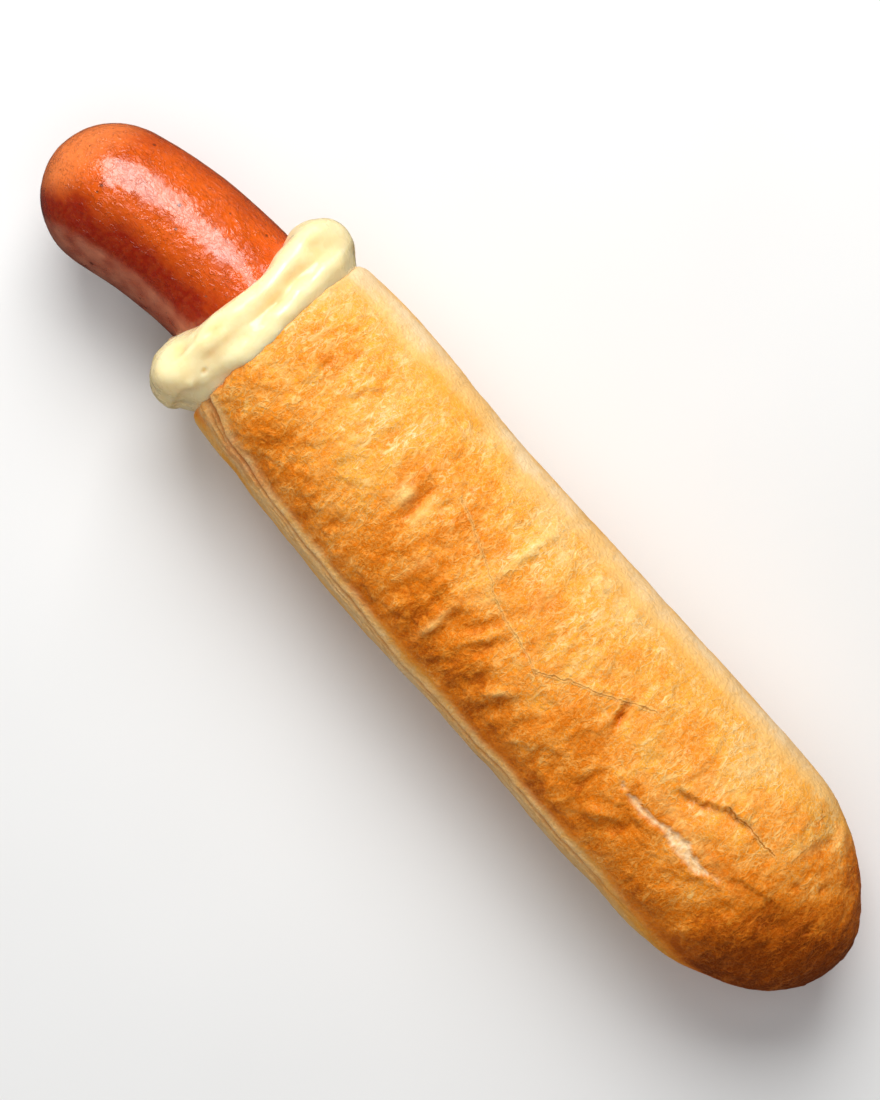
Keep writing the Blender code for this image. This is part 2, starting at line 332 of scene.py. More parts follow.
class Graph:
    """Adds nodes to a node tree and joins them up."""

    def __init__(self, tree: bpy.types.NodeTree) -> None:
        """Starts on a node tree."""
        self.tree = tree

    def add(self, kind: str, settings: dict | None = None, **inputs) -> bpy.types.Node:
        """Adds a node.

        Args:
            kind: The node's type.
            settings: The node's own settings, by name.
            **inputs: What its sockets get, by name with underscores for spaces, or by number
                after an underscore: a socket to link, or a value.

        Returns:
            The node.
        """
        node = self.tree.nodes.new(kind)
        for name, value in (settings or {}).items():
            setattr(node, name, value)
        for name, value in inputs.items():
            number = name[1:]
            socket = node.inputs[int(number) if number.isdigit() else name.replace("_", " ")]
            if isinstance(value, bpy.types.NodeSocket):
                self.tree.links.new(value, socket)
            else:
                socket.default_value = value
        return node

    def math(
        self, operation: str, first: object, second: object = 0.0, clamp: bool = False
    ) -> bpy.types.NodeSocket:
        """Joins two values with a sum, and returns what comes out."""
        settings = {"operation": operation, "use_clamp": clamp}
        return self.add("ShaderNodeMath", settings, _0=first, _1=second).outputs[0]

    def ramp(
        self, value: object, low: float, high: float, start: float = 0.0, stop: float = 1.0
    ) -> bpy.types.NodeSocket:
        """Maps a value from low..high onto start..stop, eased and held at both ends."""
        settings = {"interpolation_type": "SMOOTHSTEP"}
        return self.add(
            "ShaderNodeMapRange",
            settings,
            Value=value,
            From_Min=low,
            From_Max=high,
            To_Min=start,
            To_Max=stop,
        ).outputs[0]

    def mix(self, share: object, first: object, second: object) -> bpy.types.NodeSocket:
        """Mixes two colours, by a share from 0 to 1.

        Args:
            share: The second colour's share.
            first: The first colour, as a value or a socket.
            second: The second colour, likewise.

        Returns:
            The socket with the mixed colour.
        """
        settings = {"data_type": "RGBA", "clamp_factor": True}
        node = self.add("ShaderNodeMix", settings, _0=share)
        for number, value in ((6, first), (7, second)):
            if isinstance(value, bpy.types.NodeSocket):
                self.tree.links.new(value, node.inputs[number])
            else:
                node.inputs[number].default_value = (*value, 1.0)
        return node.outputs[2]

    def noise(
        self, place: bpy.types.NodeSocket, size: float, detail: float, distortion: float = 0.0
    ) -> bpy.types.NodeSocket:
        """Reads noise with lumps of about a size, in the units of the place."""
        return self.add(
            "ShaderNodeTexNoise",
            Vector=place,
            Scale=1.0 / size,
            Detail=detail,
            Distortion=distortion,
        ).outputs[0]

    def places(self, stretch: tuple[float, float, float] = (1.0, 1.0, 1.0)) -> object:
        """The place on the piece in millimetres, with lumps stretched by the given factors.

        Args:
            stretch: The factors along the three axes.

        Returns:
            The socket with the place.
        """
        here = self.add("ShaderNodeTexCoord").outputs["Object"]
        scale = tuple(1.0 / (MM * factor) for factor in stretch)
        return self.add("ShaderNodeMapping", Vector=here, Scale=scale).outputs[0]

    def mask(self, name: str) -> bpy.types.NodeSocket:
        """Reads a value stored on the piece's points."""
        settings = {"attribute_type": "GEOMETRY", "attribute_name": name}
        return self.add("ShaderNodeAttribute", settings).outputs["Fac"]

    def group(self, tree: bpy.types.NodeTree, **inputs) -> bpy.types.Node:
        """Places a node group with its own values."""
        return self.add("ShaderNodeGroup", {"node_tree": tree}, **inputs)


def new_group(name: str, inputs: tuple[str, ...], outputs: tuple[str, ...]) -> tuple:
    """Starts a shader node group.

    Args:
        name: The group's name.
        inputs: Its sockets; one whose name ends in "place" is a vector, others are values.
        outputs: Its sockets, all values.

    Returns:
        The group's graph, its input node and its output node.
    """
    tree = bpy.data.node_groups.new(name, "ShaderNodeTree")
    for title in inputs:
        kind = "NodeSocketVector" if title.endswith("place") else "NodeSocketFloat"
        tree.interface.new_socket(title, in_out="INPUT", socket_type=kind)
    for title in outputs:
        tree.interface.new_socket(title, in_out="OUTPUT", socket_type="NodeSocketFloat")
    graph = Graph(tree)
    return graph, graph.add("NodeGroupInput"), graph.add("NodeGroupOutput")


def fibre_group() -> bpy.types.NodeTree:
    """Makes the group that draws fine curly crests, as on baked crust and shrunken skin.

    Returns:
        The group.
    """
    graph, given, result = new_group(
        "fibres", ("place", "size", "width", "patchiness"), ("crests",)
    )
    scale = graph.math("DIVIDE", 1.0, given.outputs["size"])
    curls = graph.add(
        "ShaderNodeTexNoise",
        Vector=given.outputs["place"],
        Scale=scale,
        Detail=1.5,
        Distortion=0.7,
    ).outputs[0]
    off = graph.math("ABSOLUTE", graph.math("SUBTRACT", curls, 0.5))
    line = graph.math("DIVIDE", off, given.outputs["width"], clamp=True)
    crest = graph.math("POWER", graph.math("SUBTRACT", 1.0, line), 1.4)
    patches = graph.add(
        "ShaderNodeTexNoise",
        Vector=given.outputs["place"],
        Scale=graph.math("MULTIPLY", scale, 0.45),
        Detail=2.0,
    ).outputs[0]
    shown = graph.ramp(patches, 0.36, 0.62)
    kept = graph.math("MULTIPLY", graph.math("SUBTRACT", 1.0, shown), given.outputs["patchiness"])
    crest = graph.math("MULTIPLY", crest, graph.math("SUBTRACT", 1.0, kept))
    graph.tree.links.new(crest, result.inputs["crests"])
    return graph.tree


def speck_group() -> bpy.types.NodeTree:
    """Makes the group that scatters small round dots, on some cells of a random pattern.

    Returns:
        The group.
    """
    graph, given, result = new_group("specks", ("place", "spacing", "radius", "share"), ("dots",))
    cells = graph.add(
        "ShaderNodeTexVoronoi",
        Vector=given.outputs["place"],
        Scale=graph.math("DIVIDE", 1.0, given.outputs["spacing"]),
    )
    reach = graph.math("DIVIDE", given.outputs["radius"], given.outputs["spacing"])
    chance = graph.add("ShaderNodeSeparateColor", Color=cells.outputs["Color"])
    size = graph.math("MULTIPLY", reach, graph.math("ADD", 0.5, chance.outputs[1]))
    dot = graph.math("DIVIDE", cells.outputs["Distance"], size, clamp=True)
    dot = graph.ramp(dot, 0.45, 1.0, 1.0, 0.0)
    chosen = graph.math("LESS_THAN", chance.outputs[0], given.outputs["share"])
    graph.tree.links.new(graph.math("MULTIPLY", dot, chosen), result.inputs["dots"])
    return graph.tree


class SharedGroup(Enum):
    """The node groups that more than one material uses, each made once."""

    FIBRES = fibre_group()
    SPECKS = speck_group()


def new_material(name: str) -> tuple[bpy.types.Material, Graph, bpy.types.Node]:
    """Starts a material.

    Args:
        name: The material's name.

    Returns:
        The material, its graph and its Principled shader.
    """
    material = bpy.data.materials.new(name)
    material.use_nodes = True
    return material, Graph(material.node_tree), material.node_tree.nodes["Principled BSDF"]


def set_shader(shader: bpy.types.Node, values: dict[str, object]) -> None:
    """Sets a shader's own constants."""
    for name, value in values.items():
        shader.inputs[name].default_value = value


# ------------------------------------------------------------------ finishes


@dataclass(frozen=True)
class Crack:
    """A thin crack in the crust: a route seen from above, its half width and the darkness of
    the shade painted in it.
    """

    route: Route
    half_width: float
    darkness: float


@dataclass(frozen=True)
class CrustFinish:
    """Baked crust: cream to deep brown by how far it is baked, with a net of pale crests."""

    cracks: tuple[Crack, ...]
    tones: tuple[tuple[float, Colour], ...] = (
        (0.00, (0.95, 0.72, 0.43)),
        (0.22, (0.95, 0.53, 0.155)),
        (0.42, (0.93, 0.385, 0.038)),
        (0.58, (0.91, 0.275, 0.015)),
        (0.72, (0.74, 0.175, 0.004)),
        (0.86, (0.48, 0.095, 0.002)),
        (1.00, (0.25, 0.042, 0.001)),
    )
    crest_colour: Colour = (1.0, 0.69, 0.24)
    crumb_colour: Colour = (1.0, 0.80, 0.50)
    floury_colour: Colour = (0.88, 0.59, 0.28)
    # painted shade: the dark brown put into the pores, the cracks and the creases
    crease_shade_colour: Colour = (0.60, 0.17, 0.008)

    def baked_tone(self, graph: Graph, browning: object) -> bpy.types.NodeSocket:
        """Turns how far the crust is baked into its colour.

        Args:
            graph: The material's graph.
            browning: How far it is baked, from 0 to 1.

        Returns:
            The socket with the colour.
        """
        node = graph.add("ShaderNodeValToRGB", Fac=browning)
        node.color_ramp.interpolation = "EASE"
        stops = node.color_ramp.elements
        stops[0].position, stops[1].position = self.tones[0][0], self.tones[-1][0]
        for place, _ in self.tones[1:-1]:
            stops.new(place)
        for stop, (_, colour) in zip(stops, self.tones):
            stop.color = (*colour, 1.0)
        return node.outputs[0]

    def crack_masks(self, graph: Graph) -> tuple[bpy.types.NodeSocket, bpy.types.NodeSocket]:
        """Draws the cracks on the food's top: their dark middles of painted shade, and their pale
        edges.

        Args:
            graph: The material's graph.

        Returns:
            The sockets with the middles and with the edges.
        """
        here = graph.places()
        wobble = graph.add("ShaderNodeTexNoise", Vector=here, Scale=0.8, Detail=3.0).outputs[1]
        wobble = graph.add("ShaderNodeVectorMath", {"operation": "SUBTRACT"}, _0=wobble)
        wobble.inputs[1].default_value = (0.5, 0.5, 0.5)
        spread = graph.add(
            "ShaderNodeVectorMath", {"operation": "SCALE"}, _0=wobble.outputs[0], Scale=1.3
        )
        moved = graph.add(
            "ShaderNodeVectorMath", {"operation": "ADD"}, _0=here, _1=spread.outputs[0]
        )
        flat = graph.add(
            "ShaderNodeVectorMath", {"operation": "MULTIPLY"}, _0=moved.outputs[0], _1=(1, 1, 0)
        ).outputs[0]
        depth: object = 0.0
        edges: object = 0.0
        for crack in self.cracks:
            nearest: object = 1000.0
            for (ax, ay), (bx, by) in zip(crack.route, crack.route[1:]):
                step = Vector((bx - ax, by - ay, 0.0))
                from_start = graph.add(
                    "ShaderNodeVectorMath", {"operation": "SUBTRACT"}, _0=flat, _1=(ax, ay, 0.0)
                ).outputs[0]
                on = graph.add(
                    "ShaderNodeVectorMath",
                    {"operation": "DOT_PRODUCT"},
                    _0=from_start,
                    _1=step / step.length_squared,
                ).outputs["Value"]
                on = graph.math("ADD", on, 0.0, clamp=True)
                reached = graph.add(
                    "ShaderNodeVectorMath", {"operation": "SCALE"}, _0=step, Scale=on
                ).outputs[0]
                away = graph.add(
                    "ShaderNodeVectorMath", {"operation": "DISTANCE"}, _0=from_start, _1=reached
                ).outputs["Value"]
                nearest = graph.math("MINIMUM", nearest, away)
            line = graph.ramp(
                nearest, 0.3 * crack.half_width, crack.half_width, crack.darkness, 0.0
            )
            depth = graph.math("MAXIMUM", depth, line)
            edge = graph.ramp(nearest, crack.half_width, 3.2 * crack.half_width, 1.0, 0.0)
            edges = graph.math("MAXIMUM", edges, edge)
        height = graph.add("ShaderNodeSeparateXYZ", Vector=here).outputs["Z"]
        top = graph.ramp(height, 32.0, 36.0)
        return graph.math("MULTIPLY", depth, top), graph.math("MULTIPLY", edges, top)

    def material(self) -> bpy.types.Material:
        """Makes the material.

        Returns:
            The material.
        """
        material, graph, shader = new_material("baked_crust")
        here = graph.places()
        across = graph.places((1.0, 2.4, 2.4))
        browning = graph.mask("browning")
        crinkled = graph.mask("crinkled")
        crumb = graph.mask("crumb")
        crease = graph.mask("crease")

        clouds = graph.ramp(graph.noise(here, 13.0, 3.0), 0.3, 0.7, -0.07, 0.07)
        blotches = graph.ramp(graph.noise(across, 3.2, 5.0, 0.4), 0.3, 0.7, -0.07, 0.07)
        grain = graph.ramp(graph.noise(here, 0.8, 4.0, 0.3), 0.28, 0.72, -0.045, 0.045)
        uneven = graph.math("ADD", graph.math("ADD", clouds, blotches), grain)
        uneven = graph.math("MULTIPLY", uneven, graph.ramp(crinkled, 0.0, 1.0, 0.35, 1.0))
        baked = graph.math("ADD", browning, uneven, clamp=True)

        fibres = SharedGroup.FIBRES.value
        specks = SharedGroup.SPECKS.value
        coarse = graph.group(fibres, place=across, size=1.3, width=0.07, patchiness=0.6)
        fine = graph.group(fibres, place=here, size=0.6, width=0.09, patchiness=0.5)
        net = graph.math("MAXIMUM", coarse.outputs[0], graph.math("MULTIPLY", fine.outputs[0], 0.8))
        net = graph.math("MULTIPLY", net, graph.ramp(crinkled, 0.0, 1.0, 0.25, 1.0))
        flecks = graph.group(specks, place=here, spacing=0.9, radius=0.14, share=0.45).outputs[0]
        pores = graph.group(specks, place=here, spacing=1.6, radius=0.2, share=0.4).outputs[0]

        colour = self.baked_tone(graph, baked)
        crest = self.baked_tone(graph, graph.math("SUBTRACT", baked, 0.32, clamp=True))
        crest = graph.mix(graph.ramp(baked, 0.4, 0.85, 0.5, 0.0), crest, self.crest_colour)
        shown = graph.math("MULTIPLY", net, graph.ramp(baked, 0.5, 0.9, 0.85, 0.45))
        colour = graph.mix(shown, colour, crest)
        # painted highlight: pale patches on the ridges and lips
        colour = graph.mix(graph.mask("ridge_highlight"), colour, self.crest_colour)
        colour = graph.mix(graph.mask("floury"), colour, self.floury_colour)
        colour = graph.mix(graph.math("MULTIPLY", flecks, 0.6), colour, crest)
        # painted shade darkens the pores a little
        darker = graph.mix(0.5, colour, self.crease_shade_colour)
        colour = graph.mix(graph.math("MULTIPLY", pores, 0.2), colour, darker)

        crumbs = graph.noise(here, 1.1, 4.0)
        crumb_tone = graph.mix(graph.ramp(crumbs, 0.3, 0.7), (0.97, 0.60, 0.25), self.crumb_colour)
        colour = graph.mix(crumb, colour, crumb_tone)
        cracked, edges = self.crack_masks(graph)
        colour = graph.mix(graph.math("MULTIPLY", edges, 0.35), colour, self.crest_colour)
        # painted shade in the cracks' middles and in the creases
        colour = graph.mix(graph.math("MULTIPLY", cracked, 0.9), colour, self.crease_shade_colour)
        colour = graph.mix(graph.math("MULTIPLY", crease, 0.8), colour, self.crease_shade_colour)
        graph.tree.links.new(colour, shader.inputs["Base Color"])

        rough = graph.ramp(graph.noise(here, 1.5, 3.0), 0.3, 0.7, 0.42, 0.62)
        graph.tree.links.new(rough, shader.inputs["Roughness"])
        height = graph.math("MULTIPLY", net, 0.6)
        height = graph.math("ADD", height, graph.math("MULTIPLY", grain, 7.0))
        height = graph.math("ADD", height, graph.math("MULTIPLY", blotches, 3.5))
        height = graph.math("SUBTRACT", height, graph.math("MULTIPLY", pores, 0.5))
        height = graph.math("ADD", height, graph.math("MULTIPLY", edges, 0.8))
        height = graph.math("SUBTRACT", height, graph.math("MULTIPLY", cracked, 1.2))
        bumped = graph.add("ShaderNodeBump", Strength=0.85, Distance=0.2 * MM, Height=height)
        graph.tree.links.new(bumped.outputs[0], shader.inputs["Normal"])
        gloss = graph.math("MULTIPLY", net, 0.8)
        graph.tree.links.new(gloss, shader.inputs["Coat Weight"])
        set_shader(shader, {"Specular IOR Level": 0.08, "Coat Roughness": 0.28})
        return material


@dataclass(frozen=True)
class SkinFinish:
    """Grilled sausage skin: orange red and glossy, finely wrinkled, with dark specks."""

    warm: Colour = (0.70, 0.098, 0.002)
    # painted shade: the dark red put along the +Y side, away from the key light; it also tints
    # random darker clouds
    deep: Colour = (0.27, 0.012, 0.001)
    speck: Colour = (0.12, 0.018, 0.003)
    # painted reflection: the pale pink of the matt band on the +Y edge stands in for the rim light's
    # reflection
    dull_and_rim_reflection: Colour = (0.62, 0.22, 0.12)
    # painted light: the brighter orange put on the tip, where the lamps light it more
    tip: Colour = (0.95, 0.27, 0.07)

    def material(self) -> bpy.types.Material:
        """Makes the material.

        Returns:
            The material.
        """
        material, graph, shader = new_material("sausage_skin")
        here = graph.places()
        lengthwise = graph.places((2.2, 1.0, 1.0))
        dull_and_rim_reflection = graph.mask("dull_and_rim_reflection")
        deep = graph.mask("deep")
        fibres = SharedGroup.FIBRES.value
        specks = SharedGroup.SPECKS.value

        clouds = graph.noise(lengthwise, 6.0, 4.0, 0.5)
        # painted shade: the deep mask darkens the side away from the key light
        shade = graph.math("ADD", graph.ramp(clouds, 0.32, 0.68, 0.0, 0.35), deep, clamp=True)
        colour = graph.mix(shade, self.warm, self.deep)
        mottle = graph.ramp(graph.noise(here, 1.2, 4.0), 0.35, 0.7)
        lighter = graph.mix(0.25, colour, (0.92, 0.22, 0.03))
        colour = graph.mix(graph.math("MULTIPLY", mottle, 0.35), colour, lighter)
        # painted light on the tip
        colour = graph.mix(graph.math("MULTIPLY", graph.mask("tip"), 0.6), colour, self.tip)
        # painted reflection on the matt band, which is also made rougher below
        colour = graph.mix(graph.math("MULTIPLY", dull_and_rim_reflection, 0.75), colour, self.dull_and_rim_reflection)
        big = graph.group(specks, place=here, spacing=4.2, radius=0.45, share=0.5).outputs[0]
        small = graph.group(specks, place=here, spacing=1.7, radius=0.24, share=0.45).outputs[0]
        dots = graph.math("MAXIMUM", big, graph.math("MULTIPLY", small, 0.7))
        colour = graph.mix(graph.math("MULTIPLY", dots, 0.85), colour, self.speck)
        graph.tree.links.new(colour, shader.inputs["Base Color"])

        wrinkles = graph.group(
            fibres, place=lengthwise, size=0.9, width=0.07, patchiness=0.5
        ).outputs[0]
        pits = graph.group(specks, place=here, spacing=1.1, radius=0.2, share=0.35).outputs[0]
        lumps = graph.noise(here, 1.0, 1.5, 0.6)
        dents = graph.noise(here, 2.6, 1.0, 0.3)
        height = graph.math("MULTIPLY", wrinkles, graph.ramp(dents, 0.35, 0.6, 0.25, 0.9))
        height = graph.math("ADD", graph.math("MULTIPLY", dents, 2.4), height)
        height = graph.math("ADD", graph.math("MULTIPLY", lumps, 1.2), height)
        height = graph.math("SUBTRACT", height, graph.math("MULTIPLY", pits, 0.6))
        height = graph.math("MULTIPLY", height, graph.ramp(deep, 0.0, 0.6, 1.0, 0.4))
        bumped = graph.add("ShaderNodeBump", Strength=1.0, Distance=0.16 * MM, Height=height)
        graph.tree.links.new(bumped.outputs[0], shader.inputs["Normal"])
        rough = graph.ramp(graph.noise(here, 2.0, 3.0), 0.3, 0.7, 0.16, 0.30)
        rough = graph.math("ADD", rough, graph.math("MULTIPLY", dull_and_rim_reflection, 0.2))
        graph.tree.links.new(rough, shader.inputs["Roughness"])
        set_shader(
            shader,
            {
                "Specular IOR Level": 0.5,
                "Coat Weight": 0.75,
                "Coat Roughness": 0.12,
                "Subsurface Weight": 0.02,
                "Subsurface Radius": (1.0, 0.3, 0.1),
                "Subsurface Scale": 1.5 * MM,
            },
        )
        return material


@dataclass(frozen=True)
class SauceFinish:
    """Thick pale yellow sauce: glossy, slightly see-through, painted yellower in its hollows as
    shade.
    """

    name: str = "pale_sauce"
    cream: Colour = (0.97, 0.79, 0.47)
    yellow: Colour = (0.94, 0.66, 0.27)

    def material(self) -> bpy.types.Material:
        """Makes the material.

        Returns:
            The material.
        """
        material, graph, shader = new_material(self.name)
        here = graph.places()
        # painted shade: the hollows and the groove are mixed towards yellow
        hollow = graph.mask("hollow")
        soft = graph.ramp(graph.noise(here, 4.0, 2.0), 0.35, 0.7, 0.0, 0.25)
        share = graph.math("ADD", graph.math("MULTIPLY", hollow, 0.9), soft, clamp=True)
        colour = graph.mix(share, self.cream, self.yellow)
        graph.tree.links.new(colour, shader.inputs["Base Color"])
        ripple = graph.noise(here, 1.6, 2.0, 0.3)
        bumped = graph.add("ShaderNodeBump", Strength=0.25, Distance=0.12 * MM, Height=ripple)
        graph.tree.links.new(bumped.outputs[0], shader.inputs["Normal"])
        rough = graph.ramp(graph.noise(here, 3.0, 2.0), 0.3, 0.7, 0.22, 0.34)
        graph.tree.links.new(rough, shader.inputs["Roughness"])
        set_shader(
            shader,
            {
                "Specular IOR Level": 0.5,
                "Coat Weight": 0.25,
                "Coat Roughness": 0.10,
                "Subsurface Weight": 1.0,
                "Subsurface Radius": (1.0, 0.95, 0.8),
                "Subsurface Scale": 3.0 * MM,
                # painted light: a faint cream glow stands in for light through the sauce and
                # brightens its shaded side
                "Emission Color": (0.95, 0.70, 0.36, 1.0),
                "Emission Strength": 0.06,
            },
        )
        return material


@dataclass(frozen=True)
class FloorFinish:
    """The studio's pale matt floor, which throws little of its light back at the food."""

    pale: Colour = (0.80, 0.80, 0.79)
    cloudy: Colour = (0.78, 0.78, 0.77)
    thrown_back: Colour = (0.62, 0.56, 0.50)
    mirrored: Colour = (0.03, 0.03, 0.03)

    def material(self) -> bpy.types.Material:
        """Makes the material.

        Returns:
            The material.
        """
        material, graph, shader = new_material("studio_floor")
        spots = graph.noise(graph.places(), 90.0, 2.0)
        colour = graph.mix(graph.ramp(spots, 0.3, 0.7), self.pale, self.cloudy)
        rays = graph.add("ShaderNodeLightPath").outputs
        colour = graph.mix(rays["Is Diffuse Ray"], colour, self.thrown_back)
        colour = graph.mix(rays["Is Glossy Ray"], colour, self.mirrored)
        graph.tree.links.new(colour, shader.inputs["Base Color"])
        set_shader(shader, {"Roughness": 0.85, "Specular IOR Level": 0.2})
        return material


# ------------------------------------------------------------------ the roll


@dataclass(frozen=True)
class Fold:
    """A dent or ridge across the crust, seen from above. A ridge has a negative depth."""

    x: float
    y: float
    half_length: float
    half_width: float
    depth: float
    turn: float = 0.0

    def amount(self, x: np.ndarray, y: np.ndarray) -> np.ndarray:
        """How strong the fold is at each point, 1 in its middle.

        Args:
            x: Where each point is along the roll.
            y: Where it is across the roll.

        Returns:
            The strength there.
        """
        cos, sin = math.cos(math.radians(self.turn)), math.sin(math.radians(self.turn))
        long_way = (x - self.x) * sin + (y - self.y) * cos
        short_way = (x - self.x) * cos - (y - self.y) * sin
        return bump(long_way, self.half_length) * bump(short_way, self.half_width)


@dataclass
class Roll:
    """The crusty roll: round at one end, cut square at its mouth and hollowed for the sausage."""

    sides: int = 32
    body_rings: int = 30
    end_rings: int = 11
    levels: int = 3
    round_end: float = 38.7
    rim: float = 1.6
    bore_radius: float = 15.8
    section_power: float = 2.2
    centre_height: float = 21.0
    half_height: float = 23.0
    seam_side: Stations = (
        (-80, 25.2),
        (-60, 25.6),
        (-25, 24.9),
        (0, 25.4),
        (25, 24.4),
        (57, 22.6),
    )
    plain_side: Stations = ((-80, 24.8), (-30, 24.7), (5, 24.5), (38, 25.7), (57, 24.9))
    seam_line: Stations = (
        (-75, 23.4),
        (-24, 23.4),
        (-9, 23.7),
        (10, 22.6),
        (30, 21.8),
        (46, 19.9),
        (57, 17.2),
    )
    folds: tuple[Fold, ...] = (
        Fold(12.0, -1.0, 5.5, 1.3, 0.55, -6),
        Fold(14.6, 0.5, 2.6, 1.1, -0.45),
        Fold(9.6, 0.0, 5.0, 1.6, -0.35, -6),
        Fold(24.9, -5.5, 3.6, 1.5, 0.50),
        Fold(28.5, -2.0, 6.0, 1.5, -0.30, 10),
        Fold(-10.2, -9.0, 8.5, 1.1, -0.45, 6),
        Fold(-13.4, -9.0, 8.0, 1.7, 0.12, 6),
        Fold(-6.0, -10.0, 8.0, 2.4, 0.15, 6),
        Fold(-8.0, 13.0, 5.0, 0.9, -0.40),
        Fold(-10.2, 12.0, 6.0, 1.3, 0.45),
        Fold(-5.0, 11.0, 6.0, 1.3, 0.40),
        Fold(-14.5, 7.0, 6.0, 1.1, 0.45, 30),
        Fold(-19.0, 8.0, 5.0, 1.6, 0.45, 28),
        Fold(-16.6, 9.0, 5.0, 0.9, -0.35, 28),
        Fold(-22.6, 14.6, 4.0, 1.8, 0.45, 20),
        Fold(-27.2, 13.0, 3.6, 0.9, -0.50, 40),
        Fold(-29.2, 15.0, 4.5, 1.9, 0.45, 30),
        Fold(-36.0, 12.0, 5.5, 1.4, 0.40, 20),
        Fold(-47.0, -2.4, 2.8, 0.8, 1.15, -14),
        Fold(-45.4, -2.4, 3.2, 0.9, -0.25, -14),
        Fold(-52.0, 12.0, 4.0, 1.2, 0.40, 15),
        Fold(-58.0, 14.5, 4.0, 1.2, -0.45, 60),
        Fold(-63.0, 13.5, 4.0, 1.5, 0.50, 40),
        Fold(39.0, 12.0, 5.0, 1.4, 0.30, 10),
        Fold(44.0, 4.0, 5.0, 1.3, -0.30, -12),
        Fold(20.0, 15.0, 5.0, 1.4, 0.35, 20),
        Fold(2.0, 15.0, 5.0, 1.3, 0.35, 12),
        Fold(-94.6, -14.2, 2.6, 1.5, 0.55, 0),
        Fold(-95.8, -19.2, 3.2, 0.9, -0.35, -35),
        Fold(-96.1, -5.2, 0.8, 0.7, 0.70),
        Fold(-100.4, -8.8, 0.6, 0.5, 0.50),
        Fold(-88.0, 12.0, 4.0, 2.0, 0.45, 30),
        Fold(-97.0, 4.0, 6.0, 1.6, 0.35, 60),
    )
    # painted highlights: pale patches on the ridges and on the slashes' lips
    highlight_spots: tuple[Fold, ...] = (
        Fold(14.9, 0.5, 2.0, 1.3, 1.3),
        Fold(9.8, -0.2, 3.6, 0.9, 0.9, -8),
        Fold(-10.2, -9.0, 8.5, 0.8, 0.8, 6),
        Fold(-8.0, 13.0, 3.6, 0.5, 0.8),
        Fold(-27.3, 13.1, 1.8, 0.6, 0.9, 45),
        Fold(-12.0, 2.0, 4.0, 1.0, 0.4, 40),
        Fold(51.6, 2.4, 0.5, 4.5, 0.6),
        Fold(-70.0, 3.4, 1.2, 12.0, 0.35, 4),
        Fold(-72.0, -8.0, 1.4, 6.0, 0.4, -20),
        Fold(-95.0, -19.0, 2.6, 0.8, 0.5, -35),
        Fold(-92.0, -12.0, 3.0, 1.2, 0.4, 20),
        Fold(3.0, 8.0, 4.0, 1.0, 0.3, 12),
        Fold(-19.5, -6.0, 7.0, 0.9, 0.25, -6),
        Fold(31.0, -9.0, 8.0, 1.1, 0.25, 5),
    )
    open_slash: Route = (
        (-57.2, 6.8),
        (-61.5, 7.5),
        (-66.0, 7.4),
        (-69.5, 6.4),
        (-73.5, 6.5),
        (-77.0, 7.0),
        (-80.5, 6.8),
        (-84.2, 5.5),
    )
    open_slash_widths: Stations = (
        (0.0, 0.1),
        (0.25, 0.60),
        (0.42, 0.55),
        (0.62, 1.45),
        (0.80, 0.80),
        (1.0, 0.1),
    )
    flap_slash: Route = (
        (-64.3, -1.0),
        (-67.5, -1.5),
        (-70.0, -2.3),
        (-72.5, -3.8),
        (-74.9, -5.8),
        (-77.3, -5.6),
        (-80.0, -6.4),
        (-84.5, -5.8),
        (-88.4, -6.1),
    )
    end_step: Route = (
        (-83.8, 5.3),
        (-86.7, 2.7),
        (-89.2, 1.7),
        (-92.4, 1.3),
        (-95.5, 0.3),
        (-99.5, -1.0),
    )
    long_crack: Route = (
        (7.0, -7.5),
        (2.4, -6.0),
        (-3.3, -3.6),
        (-9.4, -1.0),
        (-11.3, 0.4),
        (-17.5, 2.3),
        (-24.0, 3.4),
        (-29.2, 4.9),
    )
    cross_crack: Route = (
        (-29.2, 4.9),
        (-30.3, 3.7),
        (-34.8, 0.7),
        (-40.4, -1.8),
        (-44.6, -4.1),
        (-48.5, -6.6),
        (-51.0, -7.8),
    )
    piece: bpy.types.Object = field(init=False)

    def __post_init__(self) -> None:
        """Takes the roll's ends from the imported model."""
        low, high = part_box("bun")
        self.end_x = low.x / MM
        self.mouth_x = high.x / MM
        sausage_low, sausage_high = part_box("sausage")
        self.bore_end_x = sausage_low.x / MM
        radius = 0.5 * (sausage_high.z - sausage_low.z) / MM
        self.bore_y = sausage_low.y / MM + radius
        self.bore_z = 0.5 * (sausage_high.z + sausage_low.z) / MM
        self.half_width = 25.0

    def build(self) -> None:
        """Models, presses, bakes and dresses the roll."""
        self.cage()
        refine(self.piece, self.levels)
        self.press()
        self.relieve()
        # each crack's last number is the darkness of the shade painted in it
        cracks = (
            Crack(self.long_crack, 0.17, 0.45),
            Crack(self.cross_crack, 0.20, 0.6),
            Crack(self.flap_slash[4:], 0.22, 1.0),
        )
        self.piece.data.materials.append(CrustFinish(cracks).material())
        finish_piece(self.piece, "bun")

